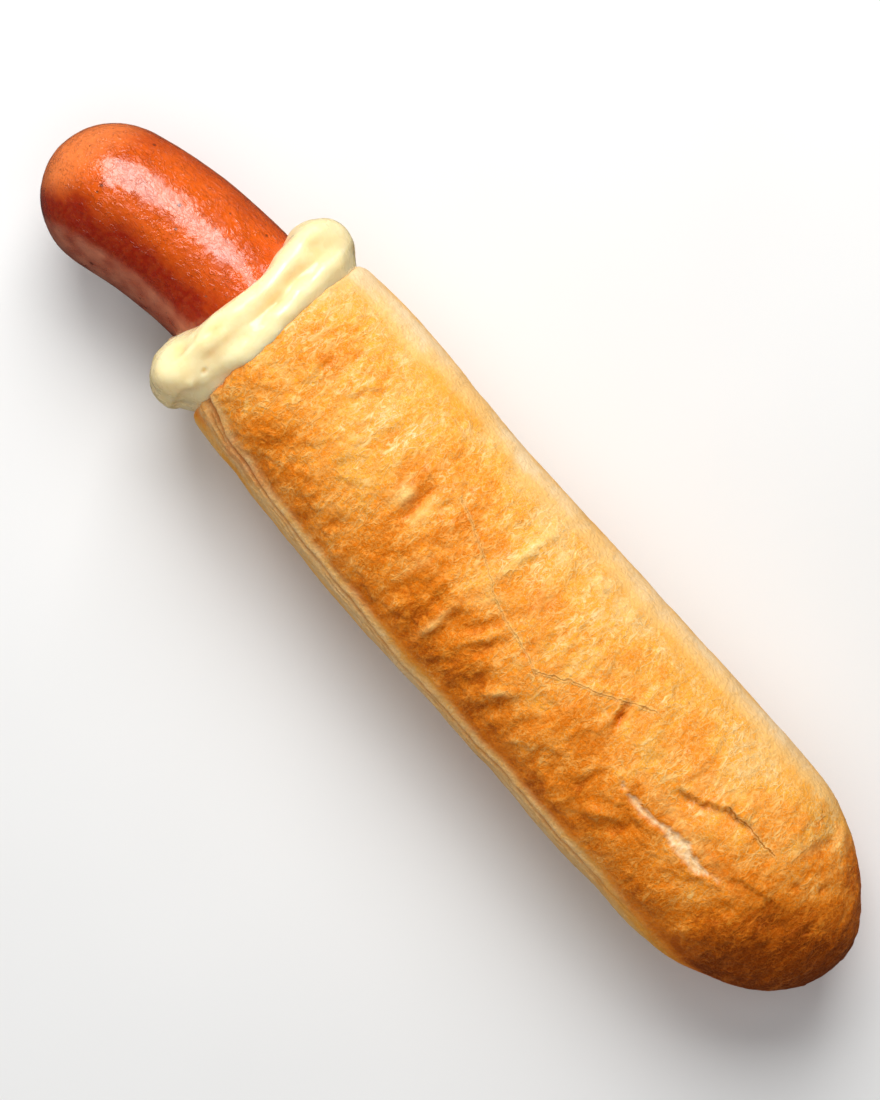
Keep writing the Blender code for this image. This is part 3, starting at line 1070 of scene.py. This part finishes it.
    def cage(self) -> None:
        """Models the roll's cage: a cylinder, drawn out to the round end and bored."""
        start = self.end_x + self.round_end
        stop = self.mouth_x - self.rim
        deselect_all()
        bpy.ops.mesh.primitive_cylinder_add(
            vertices=self.sides,
            radius=self.half_width * MM,
            depth=(stop - start) * MM,
            end_fill_type="NGON",
            location=(0.5 * (start + stop) * MM, 0.0, self.centre_height * MM),
            rotation=(0.0, math.pi / 2, 0.0),
        )
        self.piece = new_piece("roll_crust")
        bpy.ops.object.mode_set(mode="EDIT")
        select_edges(self.piece, lambda edge: edge.calc_length() > 20 * MM)
        bpy.ops.mesh.subdivide(number_cuts=self.body_rings - 1)
        select_faces(self.piece, lambda face: face.normal.x < -0.9)
        drawn, width = 0.0, 1.0
        for ring in range(1, self.end_rings + 1):
            turn = 0.5 * math.pi * ring / (self.end_rings + 0.35)
            reach, share = self.round_end * math.sin(turn), math.cos(turn)
            extrude((drawn - reach, 0.0, 0.0), share / width)
            drawn, width = reach, share
        select_faces(self.piece, lambda face: face.normal.x > 0.9)
        extrude((self.rim, 0.0, 0.0), 0.975)
        wall = (self.half_width * 0.975 - self.bore_radius) * MM
        bpy.ops.mesh.inset(thickness=wall)
        extrude((-3.0, 0.0, 0.0))
        depth = self.mouth_x - self.bore_end_x
        extrude((18.0 - depth, 0.0, 0.0))
        extrude((-12.0, 0.0, 0.0), 0.75)
        bpy.ops.object.mode_set(mode="OBJECT")

    def angle_map(self, turn: np.ndarray) -> np.ndarray:
        """Crowds the even steps round the section towards the top and the seam.

        Args:
            turn: The even angles.

        Returns:
            The crowded angles.
        """
        angles = np.linspace(-math.pi, math.pi, 2881)
        top = smooth((np.sin(angles) + 0.35) / 0.5)
        density = 1.0 + 1.35 * top + 3.2 * bump(angles - self.middle_seam, 0.11)
        passed = np.concatenate(([0.0], np.cumsum(0.5 * (density[1:] + density[:-1]))))
        return np.interp(turn, passed / passed[-1] * 2 * math.pi - math.pi, angles)

    @property
    def middle_seam(self) -> float:
        """The seam's usual angle round the section."""
        return math.radians(24.0)

    def seam_angle(self, x: np.ndarray) -> np.ndarray:
        """The seam's angle round the section at each place along the roll."""
        reach = along(self.seam_line, x) / along(self.seam_side, x)
        return np.arccos(reach ** (0.5 * self.section_power))

    def press(self) -> None:
        """Presses the turned form to the roll's real section, flat underneath."""
        points = read_points(self.piece)
        x = points[:, 0]
        y, z = points[:, 1], points[:, 2] - self.centre_height
        radius = np.hypot(y, z)
        turn = np.arctan2(z, y)
        full = radius.max()
        end_x = self.end_x + self.round_end
        in_end = x < end_x
        lean = np.arctan2((end_x - x) / self.round_end, radius / full)
        share = np.where(in_end, np.cos(lean), 1.0)
        x = np.where(in_end, end_x - self.round_end * np.sin(lean), x)
        x = np.minimum(x, self.mouth_x)

        ragged = 0.45 + 0.75 * self.grain.at(np.stack([0 * x, y, z], 1) + 600.0, 4.5)
        x = x - smooth((x - 51.0) / 6.0) * np.clip(ragged, 0.0, 1.1)
        bored = (points[:, 0] > self.bore_end_x - 1.0) & (radius < self.bore_radius + 0.4)
        wall = (radius - self.bore_radius) / (full - self.bore_radius)
        outward = np.where(x > self.bore_end_x - 1.0, np.clip(wall, 0.0, 1.0), 1.0)
        outward = np.where(bored, 0.0, outward)

        angle = self.angle_map(turn)
        jog = 0.035 * self.grain.at(np.stack([x, 0 * x, 0 * x], 1), 9.0)
        shift = self.seam_angle(x) + jog - self.middle_seam
        angle = angle + shift * bump(angle - self.middle_seam, 0.6)
        side = np.where(np.cos(angle) > 0, along(self.seam_side, x), along(self.plain_side, x))
        skin_y = side * share * power(np.cos(angle), 2 / self.section_power)
        skin_z = self.half_height * share * power(np.sin(angle), 2 / self.section_power)
        bore = np.minimum(radius, self.bore_radius)
        bore_y = self.bore_y + bore * np.cos(angle)
        bore_z = self.bore_z - self.centre_height + bore * np.sin(angle)
        new_y = bore_y + (skin_y - bore_y) * outward
        new_z = self.centre_height + bore_z + (skin_z - bore_z) * outward
        new_z = np.where(outward > 0.5, np.maximum(new_z, 0.0), new_z)
        write_points(self.piece, np.stack([x, new_y, new_z], axis=1))
        self.angle, self.share, self.outward = angle, share, outward

    @property
    def grain(self) -> Noise:
        """The noise that makes the crust uneven."""
        return Noise(7)

    def relieve(self) -> None:
        """Gives the crust its lumps, folds, seam, slashes and scales, and its masks."""
        points = read_points(self.piece)
        normals = read_normals(self.piece)
        x, y, z = points.T
        grain = self.grain
        skin = smooth((self.outward - 0.8) / 0.2)
        top = smooth((z - 24.0) / 8.0)
        across = y / 25.0
        high = smooth((np.sin(self.angle) + 0.1) / 0.5)
        far_end = smooth((-80.0 - x) / 26.0)
        crinkled = self.crinkling(points, across, high, far_end)

        lift = 0.45 * grain.at(points, 26.0) + 0.34 * grain.at(points, (8.0, 16.0, 16.0))
        rough = grain.ridges(points, (2.4, 6.0, 6.0)) * smooth(0.5 + grain.at(points, 11.0))
        lift += 0.30 * crinkled * (rough - 0.3)
        lift += crinkled * (0.10 * grain.at(points, (1.5, 2.6, 2.6)) + 0.07 * grain.at(points, 1.1))
        scales = smooth((grain.layers(points, 9.0, 3) - 0.03) / 0.10)
        lift += (0.30 - 0.12 * far_end) * scales * crinkled

        ragged_x = x + 0.5 * grain.at(points, 1.9)
        ragged_y = y + 0.5 * grain.at(points + 50.0, 1.9)
        valleys = np.zeros(len(x))
        for fold in self.folds:
            amount = fold.amount(ragged_x, ragged_y) * top
            lift -= 1.5 * fold.depth * amount
            valleys += fold.depth * amount

        torn_x = ragged_x + 0.4 * grain.at(points + 300.0, 0.9)
        torn_y = ragged_y + 0.5 * grain.at(points + 350.0, 1.2)
        crumb, crease, dip = self.slashes(torn_x, torn_y, top)
        lift += dip
        seam_dip, seam_crease, seam_pale = self.seam(points, grain)
        lift += seam_dip
        lift *= skin
        moved = points + normals * lift[:, None]
        moved[:, 2] = np.maximum(moved[:, 2], np.where(self.outward > 0.5, 0.0, -1.0))
        moved[:, 0] = np.maximum(moved[:, 0], self.end_x)
        write_points(self.piece, moved)

        browning = self.browning(points, across, high, far_end, grain)
        # painted shade and light: the valleys term browns the folds' dents darker and leaves their
        # ridges paler
        browning += 0.20 * valleys + 0.05 * scales * far_end * high - 0.10 * rough * crinkled
        browning -= 0.12 * seam_pale
        low_side = smooth((-0.80 - across + 0.08 * grain.at(points + 60.0, 7.0)) / 0.2)
        speckled = 0.75 + 0.5 * grain.at(points + 400.0, 2.2)
        floury = (0.62 * seam_pale + 0.30 * low_side * high) * speckled
        write_mask(self.piece, "floury", floury)
        inside = 1.0 - smooth((self.outward - 0.75) / 0.2)
        write_mask(self.piece, "browning", browning)
        write_mask(self.piece, "crinkled", np.maximum(crinkled, 0.7 * seam_pale))
        write_mask(self.piece, "ridge_highlight", self.ridge_highlight(ragged_x, ragged_y) * top)
        write_mask(self.piece, "crumb", np.maximum(crumb, inside))
        # the crease mask holds the painted shade of the slashes, under the flap and along the seam
        write_mask(self.piece, "crease", np.maximum(crease, seam_crease))

    def ridge_highlight(self, x: np.ndarray, y: np.ndarray) -> np.ndarray:
        """How strongly pale highlights are painted on the crust's ridges and lips."""
        return sum(0.55 * spot.depth * spot.amount(x, y) for spot in self.highlight_spots)

    def crinkling(
        self, points: np.ndarray, across: np.ndarray, high: np.ndarray, far_end: np.ndarray
    ) -> np.ndarray:
        """How crinkled the crust is: most on top, and smooth low on both sides.

        Args:
            points: The pressed roll's points.
            across: Where each is across the roll, from -1 to 1.
            high: How far it is on the upper side.
            far_end: How far it is in the round end.

        Returns:
            The crinkling, from 0 to 1.
        """
        drift = 0.10 * self.grain.at(points + 80.0, 14.0)
        plain = smooth((across + drift + 0.93) / 0.30)
        seam = smooth((0.95 - across + drift) / 0.25)
        return np.maximum(0.25, high * np.maximum(plain * seam, 0.75 * far_end))

    def browning(
        self,
        points: np.ndarray,
        across: np.ndarray,
        high: np.ndarray,
        far_end: np.ndarray,
        grain: Noise,
    ) -> np.ndarray:
        """How far the crust is baked, 0 for cream and 1 for deep brown.

        Args:
            points: The pressed roll's points.
            across: Where each is across the roll, from -1 to 1.
            high: How far it is on the upper side.
            far_end: How far it is in the round end.
            grain: The crust's noise.

        Returns:
            How far it is baked at each point.
        """
        bands: Stations = (
            (-1.0, 0.02),
            (-0.9, 0.14),
            (-0.76, 0.37),
            (-0.5, 0.48),
            (-0.2, 0.55),
            (0.1, 0.57),
            (0.4, 0.63),
            (0.62, 0.72),
            (0.80, 0.77),
            (0.91, 0.48),
            (1.0, 0.25),
        )
        x = points[:, 0]
        drift = 0.07 * grain.at(points + 120.0, 16.0)
        tone = along(bands, across + drift)
        tone = 0.30 + (tone - 0.30) * high + 0.10 * grain.at(points + 200.0, 22.0)
        burnt = along(((-1.0, 0.22), (-0.3, 0.25), (0.2, 0.42), (0.8, 0.34), (1.0, 0.26)), across)
        tone += far_end * burnt + 0.10 * smooth((-100.0 - x) / 14.0)
        tone += 0.05 * smooth((-50.0 - x) / 20.0) * bump(across + 0.35, 0.45)
        return tone - 0.07 * smooth((x - 42.0) / 12.0)

    def slashes(
        self, x: np.ndarray, y: np.ndarray, top: np.ndarray
    ) -> tuple[np.ndarray, np.ndarray, np.ndarray]:
        """Works out the slashes near the round end.

        Args:
            x: Where each point is along the roll.
            y: Where it is across the roll.
            top: How far it is on the roll's top.

        Returns:
            How much crumb shows, how dark the painted shade in the creases is, and how far the crust
            is lifted.
        """
        off, passed = beside(self.open_slash, x, y)
        half = along(self.open_slash_widths, passed)
        inside = smooth((half - np.abs(off)) / 0.45 + 0.5) * top
        lips = bump(off - half - 0.7, 1.0) * smooth(half / 0.6) * top
        dip = -0.75 * inside + 0.45 * lips
        # painted shade along the edges of the slash's opening
        dark = bump(off - half, 0.35) * smooth(half / 0.8) * top

        off, passed = beside(self.flap_slash, x, y)
        held = smooth(passed / 0.12) * smooth((0.92 - passed) / 0.35) * top
        under = np.where(off > 0, np.exp(-off / 2.6), 0.0) * smooth(off / 0.25 + 0.5)
        over = np.where(off <= 0, np.exp(off / 1.5), 0.0)
        dip += held * (0.50 * over - 1.35 * under)
        # painted shadow on the lower crust under the flap's edge
        flap_shadow = held * bump(off - 0.5, 0.75)

        off, passed = beside(self.end_step, x, y)
        held = smooth(passed / 0.2) * smooth((1.0 - passed) / 0.3) * top
        dip += held * 0.45 * np.where(off > 0, -np.exp(-off / 3.0), np.exp(off / 2.0))

        off, _ = beside(self.cross_crack, x, y)
        dip += top * (0.22 * bump(off + 0.6, 0.7) - 0.15 * bump(off, 0.4))
        off, _ = beside(self.long_crack, x, y)
        dip -= 0.18 * top * bump(off, 0.45)
        return 0.85 * inside, np.maximum(0.5 * dark, 0.75 * flap_shadow), dip

    def seam(
        self, points: np.ndarray, grain: Noise
    ) -> tuple[np.ndarray, np.ndarray, np.ndarray]:
        """Works out the seam along the side, where the upper crust laps over the lower layer.

        Args:
            points: The pressed roll's points.
            grain: The crust's noise.

        Returns:
            How far the crust is lifted, how dark the painted shade in its groove and creases is,
            and how pale the crust is beside it.
        """
        x = points[:, 0]
        row = np.stack([x, 0 * x, 0 * x], 1)
        strength = smooth((x + 84.0) / 24.0)
        jog = 0.035 * grain.at(row, 9.0) + 0.022 * grain.at(row + 70.0, 2.8)
        off = (self.angle - self.seam_angle(x) - jog) * 24.5
        wide = 0.50 + 0.75 * smooth((x - 42.0) / 14.0)
        depth = 1.5 + 0.9 * smooth((x - 46.0) / 11.0) + 0.4 * grain.at(row, 6.0)
        groove = bump(off + 0.3, wide)
        lip = bump(off - 1.2, 1.2)
        ledge = smooth((-0.4 - off) / 0.5) * smooth((off + 7.0) / 4.0)
        lift = -depth * groove + 0.35 * lip
        lift += ledge * (0.25 + 0.30 * grain.at(points, (4.0, 2.0, 2.0)))
        # painted shade: the groove and the creases below it are darkened
        dark = 0.8 * groove
        for low, wave, begin, share in ((2.0, 0.7, 9.0, 1.0), (3.5, 0.6, 25.0, 0.8)):
            crease = bump(off + low + wave * grain.at(row + begin, 7.0), 0.30)
            crease *= share * smooth(0.55 + 1.8 * grain.at(row + begin + 40.0, 8.0))
            lift -= 0.75 * crease
            dark = np.maximum(dark, 0.8 * crease)
        pale = smooth((off + 9.0) / 4.0) * smooth((5.0 - off) / 3.5)
        return strength * lift, strength * dark, strength * pale


# ------------------------------------------------------------------ the sausage


@dataclass
class Sausage:
    """The sausage: straight in the roll, then bent towards the seam's side to a round tip."""

    sides: int = 32
    levels: int = 3
    hidden_rings: int = 3
    shown_rings: int = 3
    bend_rings: int = 9
    tip_rings: int = 5
    shown_from: float = 52.0
    bend_start: float = 66.5
    bend_radius: float = 107.0
    piece: bpy.types.Object = field(init=False)

    def __post_init__(self) -> None:
        """Takes the sausage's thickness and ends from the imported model."""
        low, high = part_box("sausage")
        self.start_x, self.tip_x = low.x / MM, high.x / MM
        self.radius = 0.5 * (high.z - low.z) / MM
        self.axis_y = low.y / MM + self.radius
        self.axis_z = 0.5 * (high.z + low.z) / MM
        reach = self.tip_x - self.radius - self.bend_start
        self.bend_turn = math.asin(reach / self.bend_radius)

    def build(self) -> None:
        """Models, wrinkles and dresses the sausage."""
        self.cage()
        refine(self.piece, self.levels)
        self.wrinkle()
        self.piece.data.materials.append(SkinFinish().material())
        finish_piece(self.piece, "sausage")

    def cage(self) -> None:
        """Models the sausage's cage: a cylinder, spun round the bend and drawn to its tip."""
        start = self.start_x + self.radius
        shrink = 0.9936
        deselect_all()
        bpy.ops.mesh.primitive_cylinder_add(
            vertices=self.sides,
            radius=self.radius / shrink * MM,
            depth=(self.shown_from - start) * MM,
            end_fill_type="NGON",
            location=(
                0.5 * (self.shown_from + start) * MM,
                self.axis_y * MM,
                self.axis_z * MM,
            ),
            rotation=(0.0, math.pi / 2, 0.0),
        )
        self.piece = new_piece("grilled_sausage")
        bpy.ops.object.mode_set(mode="EDIT")
        select_edges(self.piece, lambda edge: edge.calc_length() > 20 * MM)
        bpy.ops.mesh.subdivide(number_cuts=self.hidden_rings - 1)
        select_faces(self.piece, lambda face: face.normal.x < -0.9)
        self.draw_tip(3, (-1.0, 0.0))
        select_faces(self.piece, lambda face: face.normal.x > 0.9 and len(face.verts) > 4)
        step = (self.bend_start - self.shown_from) / self.shown_rings
        for _ in range(self.shown_rings):
            extrude((step, 0.0, 0.0))
        bpy.ops.mesh.spin(
            steps=self.bend_rings,
            angle=-self.bend_turn,
            center=(
                self.bend_start * MM,
                (self.axis_y + self.bend_radius) * MM,
                self.axis_z * MM,
            ),
            axis=(0.0, 0.0, 1.0),
        )
        self.draw_tip(self.tip_rings, (math.cos(self.bend_turn), math.sin(self.bend_turn)))
        bpy.ops.object.mode_set(mode="OBJECT")

    def draw_tip(self, rings: int, way: tuple[float, float]) -> None:
        """Draws the selected end face out to a round tip.

        Args:
            rings: The number of rings in the tip.
            way: The direction in which the tip points, seen from above.
        """
        drawn, width = 0.0, 1.0
        for ring in range(1, rings + 1):
            turn = 0.5 * math.pi * ring / (rings + 0.3)
            reach, share = self.radius * 1.02 * math.sin(turn), math.cos(turn)
            step = reach - drawn
            extrude((step * way[0], step * way[1], 0.0), share / width)
            drawn, width = reach, share

    def wrinkle(self) -> None:
        """Gives the skin its soft lumps and fine wrinkles, and its masks."""
        points = read_points(self.piece)
        normals = read_normals(self.piece)
        grain = Noise(19)
        x, y, _ = points.T
        beyond = np.clip((x - self.bend_start) / self.bend_radius, 0.0, 1.0)
        middle = self.axis_y + self.bend_radius * (1.0 - np.sqrt(1.0 - beyond**2))
        across = (y - middle) / self.radius
        upward = normals[:, 2]
        shown = smooth((x - 50.0) / 6.0)
        lift = 0.16 * grain.at(points, 13.0) + 0.07 * grain.at(points, (7.0, 4.0, 4.0))
        lift += 0.035 * grain.at(points, (2.6, 1.5, 1.5)) + 0.02 * grain.at(points, 0.9)
        band = bump(across + 0.80, 0.10) * smooth((x - 64.0) / 10.0) * smooth(upward * 4.0)
        lift -= 0.10 * band * grain.ridges(points, (7.0, 1.2, 1.2))
        low_side = smooth((across - 0.66) / 0.14) * smooth((upward + 0.5) * 3.0)
        lift -= 0.12 * low_side * smooth(grain.at(points + 40.0, 1.6) * 2.0 - 0.6)
        write_points(self.piece, points + normals * (lift * shown)[:, None])
        drift = 0.12 * grain.at(points + 90.0, 9.0)
        # painted shade: the deep mask grows towards the +Y side, away from the key light
        deep = smooth((across + drift - 0.05) / 0.5)
        write_mask(self.piece, "deep", deep)
        # painted light: the tip mask brightens the lit tip, away from the shaded side
        write_mask(self.piece, "tip", smooth((x + 0.3 * drift - 103.0) / 9.0) * (1.0 - deep))
        # the matt band on the +Y edge, which has real pits and a painted pink rim reflection
        write_mask(self.piece, "dull_and_rim_reflection", low_side * (0.7 + 0.5 * grain.at(points, 3.0)))


# ------------------------------------------------------------------ the sauce


@dataclass(frozen=True)
class Dab:
    """A soft lump in the sauce seen from above, or a hollow where its height is negative."""

    x: float
    y: float
    half_x: float
    half_y: float
    height: float


@dataclass
class Sauce:
    """The collar of sauce: a bead along the sausage, a groove, and a lip over the crust's rim."""

    crumb_place: tuple[float, float, float] = (69.9, 14.4, 25.5)
    tan: Colour = (0.80, 0.42, 0.24)
    around: int = 80
    across: int = 20
    levels: int = 2
    grooved: Route = (
        (9.2, -0.03),
        (10.2, 0.16),
        (10.4, 0.42),
        (10.0, 0.70),
        (8.9, 0.91),
        (7.4, 0.95),
        (5.8, 0.87),
        (4.5, 0.79),
        (3.3, 0.83),
        (2.2, 0.94),
        (1.0, 0.98),
        (-0.2, 0.94),
        (-1.4, 0.80),
        (-1.4, 0.60),
        (-1.0, 0.25),
        (4.5, -0.04),
    )
    rounded: Route = (
        (9.4, -0.03),
        (10.5, 0.16),
        (10.7, 0.42),
        (10.1, 0.68),
        (8.8, 0.88),
        (7.2, 0.99),
        (5.5, 1.03),
        (3.8, 1.01),
        (2.3, 0.94),
        (1.1, 0.85),
        (0.2, 0.76),
        (-0.6, 0.66),
        (-1.2, 0.52),
        (-1.3, 0.30),
        (-1.0, 0.05),
        (4.7, -0.04),
    )
    front_reach: Stations = (
        (-180, 1.14),
        (-135, 1.0),
        (-90, 0.95),
        (-45, 1.0),
        (-8, 1.10),
        (30, 1.24),
        (62, 1.02),
        (105, 0.90),
        (132, 1.10),
        (152, 1.24),
        (180, 1.14),
    )
    outer_reach: Stations = (
        (-180, 24.9),
        (-135, 22.5),
        (-90, 21.2),
        (-45, 22.5),
        (-5, 26.6),
        (18, 27.2),
        (38, 29.2),
        (60, 25.6),
        (90, 23.0),
        (120, 24.0),
        (142, 26.0),
        (162, 25.9),
        (180, 24.9),
    )
    back_edge: Stations = (
        (-180, 0.9),
        (-90, 0.2),
        (-10, 1.4),
        (20, 1.8),
        (40, 1.8),
        (50, 1.0),
        (62, 0.0),
        (72, -1.1),
        (90, -1.2),
        (99, -0.2),
        (120, 0.4),
        (140, 0.9),
        (160, 1.2),
        (180, 0.9),
    )
    groove_strength: Stations = (
        (-180, 0.0),
        (-90, 0.35),
        (-10, 0.0),
        (25, 0.1),
        (50, 0.3),
        (72, 0.65),
        (92, 0.8),
        (140, 0.7),
        (165, 0.1),
        (180, 0.0),
    )
    dabs: tuple[Dab, ...] = (
        Dab(64.4, -20.4, 2.0, 2.0, -0.9),
        Dab(62.1, -12.9, 1.2, 3.4, -0.65),
        Dab(60.9, -5.9, 1.0, 3.0, -0.7),
        Dab(65.1, 6.6, 1.8, 2.8, -0.85),
        Dab(67.1, 14.6, 1.5, 2.4, -0.85),
        Dab(63.8, 10.8, 1.4, 1.8, 0.4),
        Dab(62.0, 18.0, 1.8, 2.0, 0.4),
        Dab(65.3, 12.0, 0.8, 3.6, 0.45),
        Dab(63.0, 6.4, 1.3, 1.6, 0.5),
        Dab(61.3, 1.0, 2.0, 2.5, 0.35),
        Dab(67.5, -19.2, 1.8, 2.4, 0.35),
        Dab(59.6, -10.6, 0.9, 1.4, 0.35),
        Dab(58.4, -4.8, 0.9, 1.4, 0.25),
        Dab(59.7, -18.2, 1.0, 1.8, 0.4),
        Dab(60.3, 13.7, 0.5, 0.5, -0.8),
        Dab(60.5, 17.2, 0.9, 1.0, 0.55),
        Dab(61.8, 10.5, 1.0, 2.4, -0.3),
        Dab(64.7, 21.0, 3.0, 2.6, 0.45),
    )
    piece: bpy.types.Object = field(init=False)

    def __post_init__(self) -> None:
        """Takes the mouth and the sausage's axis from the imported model."""
        self.mouth_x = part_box("bun")[1].x / MM
        low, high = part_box("sausage")
        self.skin = 0.5 * (high.z - low.z) / MM
        self.axis_y = low.y / MM + self.skin
        self.axis_z = 0.5 * (high.z + low.z) / MM

    def build(self) -> None:
        """Models, shapes and dresses the sauce."""
        deselect_all()
        bpy.ops.mesh.primitive_torus_add(
            major_segments=self.around,
            minor_segments=self.across,
            major_radius=20.0 * MM,
            minor_radius=4.0 * MM,
            location=(self.mouth_x * MM, self.axis_y * MM, self.axis_z * MM),
            rotation=(0.0, math.pi / 2, 0.0),
        )
        self.piece = new_piece("sauce_collar")
        refine(self.piece, self.levels)
        self.pile()
        self.piece.data.materials.append(SauceFinish().material())
        self.crumb()
        finish_piece(self.piece, "sauce")

    def crumb(self) -> None:
        """Sticks a small crumb to the front of the sauce, on the seam's side."""
        x, y, z = self.crumb_place
        deselect_all()
        bpy.ops.mesh.primitive_ico_sphere_add(
            subdivisions=4, radius=1.5 * MM, location=(x * MM, y * MM, z * MM)
        )
        crumb = new_piece("crumb")
        points = read_points(crumb)
        grain = Noise(43)
        middle = np.array(self.crumb_place)
        swell = 1.0 + 0.45 * grain.at(points, 1.3) + 0.15 * grain.at(points, 0.5)
        write_points(crumb, middle + (points - middle) * swell[:, None])
        write_mask(crumb, "hollow", np.ones(len(points)))
        # the crumb's material has the same faint painted glow
        finish = SauceFinish(name="crumb", cream=self.tan, yellow=self.tan)
        crumb.data.materials.append(finish.material())
        deselect_all()
        crumb.select_set(True)
        self.piece.select_set(True)
        bpy.context.view_layer.objects.active = self.piece
        bpy.ops.object.join()

    def outline(self, route: Route, share: np.ndarray) -> np.ndarray:
        """Reads a closed smooth curve through a route's points at shares of the way round.

        Args:
            route: The curve's points.
            share: The shares to read.

        Returns:
            The curve's points there.
        """
        knots = np.array(route)
        count = len(knots)
        place = (share % 1.0) * count
        start = np.floor(place).astype(int)
        t = (place - start)[:, None]
        a, b, c, d = (knots[(start + step) % count] for step in (-1, 0, 1, 2))
        return 0.5 * (
            2 * b + (c - a) * t + (2 * a - 5 * b + 4 * c - d) * t**2 + (3 * b - a - 3 * c + d) * t**3
        )

    def pile(self) -> None:
        """Piles the ring of sauce up round the sausage, with its bead, groove, lip and dabs."""
        points = read_points(self.piece)
        y = points[:, 1] - self.axis_y
        z = points[:, 2] - self.axis_z
        angle = np.arctan2(z, y)
        degrees = np.degrees(angle)
        inward = np.hypot(y, z) - 20.0
        round_share = np.arctan2(inward, points[:, 0] - self.mouth_x) / (2 * math.pi) + 0.11
        grain = Noise(31)

        grooved = self.outline(self.grooved, round_share)
        rounded = self.outline(self.rounded, round_share)
        strength = along(self.groove_strength, degrees)[:, None]
        form = rounded + (grooved - rounded) * strength
        ahead = np.clip(form[:, 0], 0.0, None)
        behind = np.clip(form[:, 0], None, 0.0)
        reach = along(self.outer_reach, degrees)
        radius = self.skin + form[:, 1] * (reach - self.skin)
        back = smooth((form[:, 1] - 0.60) / 0.2) * smooth((3.5 - form[:, 0]) / 3.0)
        behind = behind + back * along(self.back_edge, degrees)
        place = self.mouth_x + ahead * along(self.front_reach, degrees) + behind
        base = np.stack(
            [
                place,
                self.axis_y + radius * np.cos(angle),
                self.axis_z + radius * np.sin(angle),
            ],
            axis=1,
        )
        write_points(self.piece, base)
        normals = read_normals(self.piece)
        shown = smooth((form[:, 1] - 0.05) / 0.3) * smooth((form[:, 0] + 1.0) / 1.5)
        lift = 0.30 * grain.at(base, 6.0) + 0.10 * grain.at(base, 2.6)
        upper = smooth((base[:, 2] - self.axis_z) / 6.0)
        hollow = np.zeros(len(base))
        for dab in self.dabs:
            amount = bump(base[:, 0] - dab.x, dab.half_x) * bump(base[:, 1] - dab.y, dab.half_y)
            lift += dab.height * amount * upper
            hollow += np.clip(-dab.height, 0.0, 1.0) * amount * upper
        moved = base + normals * (lift * shown)[:, None]
        moved[:, 2] = np.maximum(moved[:, 2], 0.15)
        write_points(self.piece, moved)
        # painted shade: how much the dabs' hollows and the groove are painted yellower
        groove = bump(form[:, 0] - 4.2, 1.5) * strength[:, 0]
        write_mask(self.piece, "hollow", 0.6 * hollow + 0.3 * groove)


# ------------------------------------------------------------------ the studio


@dataclass(frozen=True)
class Softbox:
    """A rectangular area lamp, aimed at the food."""

    name: str
    place: tuple[float, float, float]
    size: tuple[float, float]
    power: float
    mirrored: bool = True
    colour: Colour = (1.0, 1.0, 1.0)

    def hang(self) -> None:
        """Hangs the lamp and points it at the food."""
        lamp = bpy.data.lights.new(self.name, "AREA")
        lamp.shape = "RECTANGLE"
        lamp.size, lamp.size_y = (side * MM for side in self.size)
        lamp.energy = self.power
        lamp.color = self.colour
        item = bpy.data.objects.new(self.name, lamp)
        item.location = Vector(self.place) * MM
        item.rotation_euler = (-item.location).to_track_quat("-Z", "Y").to_euler()
        item.visible_glossy = self.mirrored
        bpy.context.scene.collection.objects.link(item)


@dataclass
class Studio:
    """A pale floor, soft light and a camera that looks straight down on the food."""

    roll_degrees: float = -132.05
    lens: float = 120.0
    sensor: float = 36.0
    view_height: float = 226.4
    view_centre: tuple[float, float] = (2.06, 2.58)
    middle_height: float = 22.0
    floor_size: float = 6000.0
    sky: Colour = (0.13, 0.13, 0.135)
    mirrored_sky: Colour = (0.04, 0.04, 0.045)
    lamps: tuple[Softbox, ...] = (
        Softbox("key", (430.0, -390.0, 690.0), (600.0, 620.0), 8.9),
        Softbox("fill", (-100.0, 100.0, 900.0), (700.0, 700.0), 2.2, mirrored=False),
        Softbox("rim", (200.0, 620.0, 200.0), (300.0, 260.0), 0.5, mirrored=False),
        Softbox("side", (800.0, -160.0, 300.0), (320.0, 260.0), 1.5, mirrored=False),
    )

    def build(self) -> None:
        """Sets up the floor, the lamps, the sky and the camera."""
        deselect_all()
        bpy.ops.mesh.primitive_plane_add(size=self.floor_size * MM)
        floor = new_piece("studio_floor")
        floor.data.materials.append(FloorFinish().material())
        for lamp in self.lamps:
            lamp.hang()
        world = bpy.data.worlds.new("studio")
        world.use_nodes = True
        graph = Graph(world.node_tree)
        rays = graph.add("ShaderNodeLightPath").outputs
        shown = graph.mix(rays["Is Glossy Ray"], self.sky, self.mirrored_sky)
        graph.tree.links.new(shown, world.node_tree.nodes["Background"].inputs["Color"])
        bpy.context.scene.world = world
        bpy.context.scene.view_settings.view_transform = "Standard"
        self.place_camera()

    def place_camera(self) -> None:
        """Places the camera over the food, turned so that the food lies as it is seen."""
        data = bpy.data.cameras.new("camera")
        data.lens = self.lens
        data.sensor_width = self.sensor
        distance = self.lens / self.sensor * self.view_height
        camera = bpy.data.objects.new("camera", data)
        x, y = self.view_centre
        camera.location = (x * MM, y * MM, (self.middle_height + distance) * MM)
        camera.rotation_euler = (0.0, 0.0, math.radians(self.roll_degrees))
        bpy.context.scene.collection.objects.link(camera)
        bpy.context.scene.camera = camera


def main() -> None:
    """Builds the food and the studio."""
    logging.basicConfig(level=logging.INFO, format="%(name)s: %(message)s")
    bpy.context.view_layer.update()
    Roll().build()
    Sausage().build()
    Sauce().build()
    Studio().build()


if __name__ == "__main__":
    main()
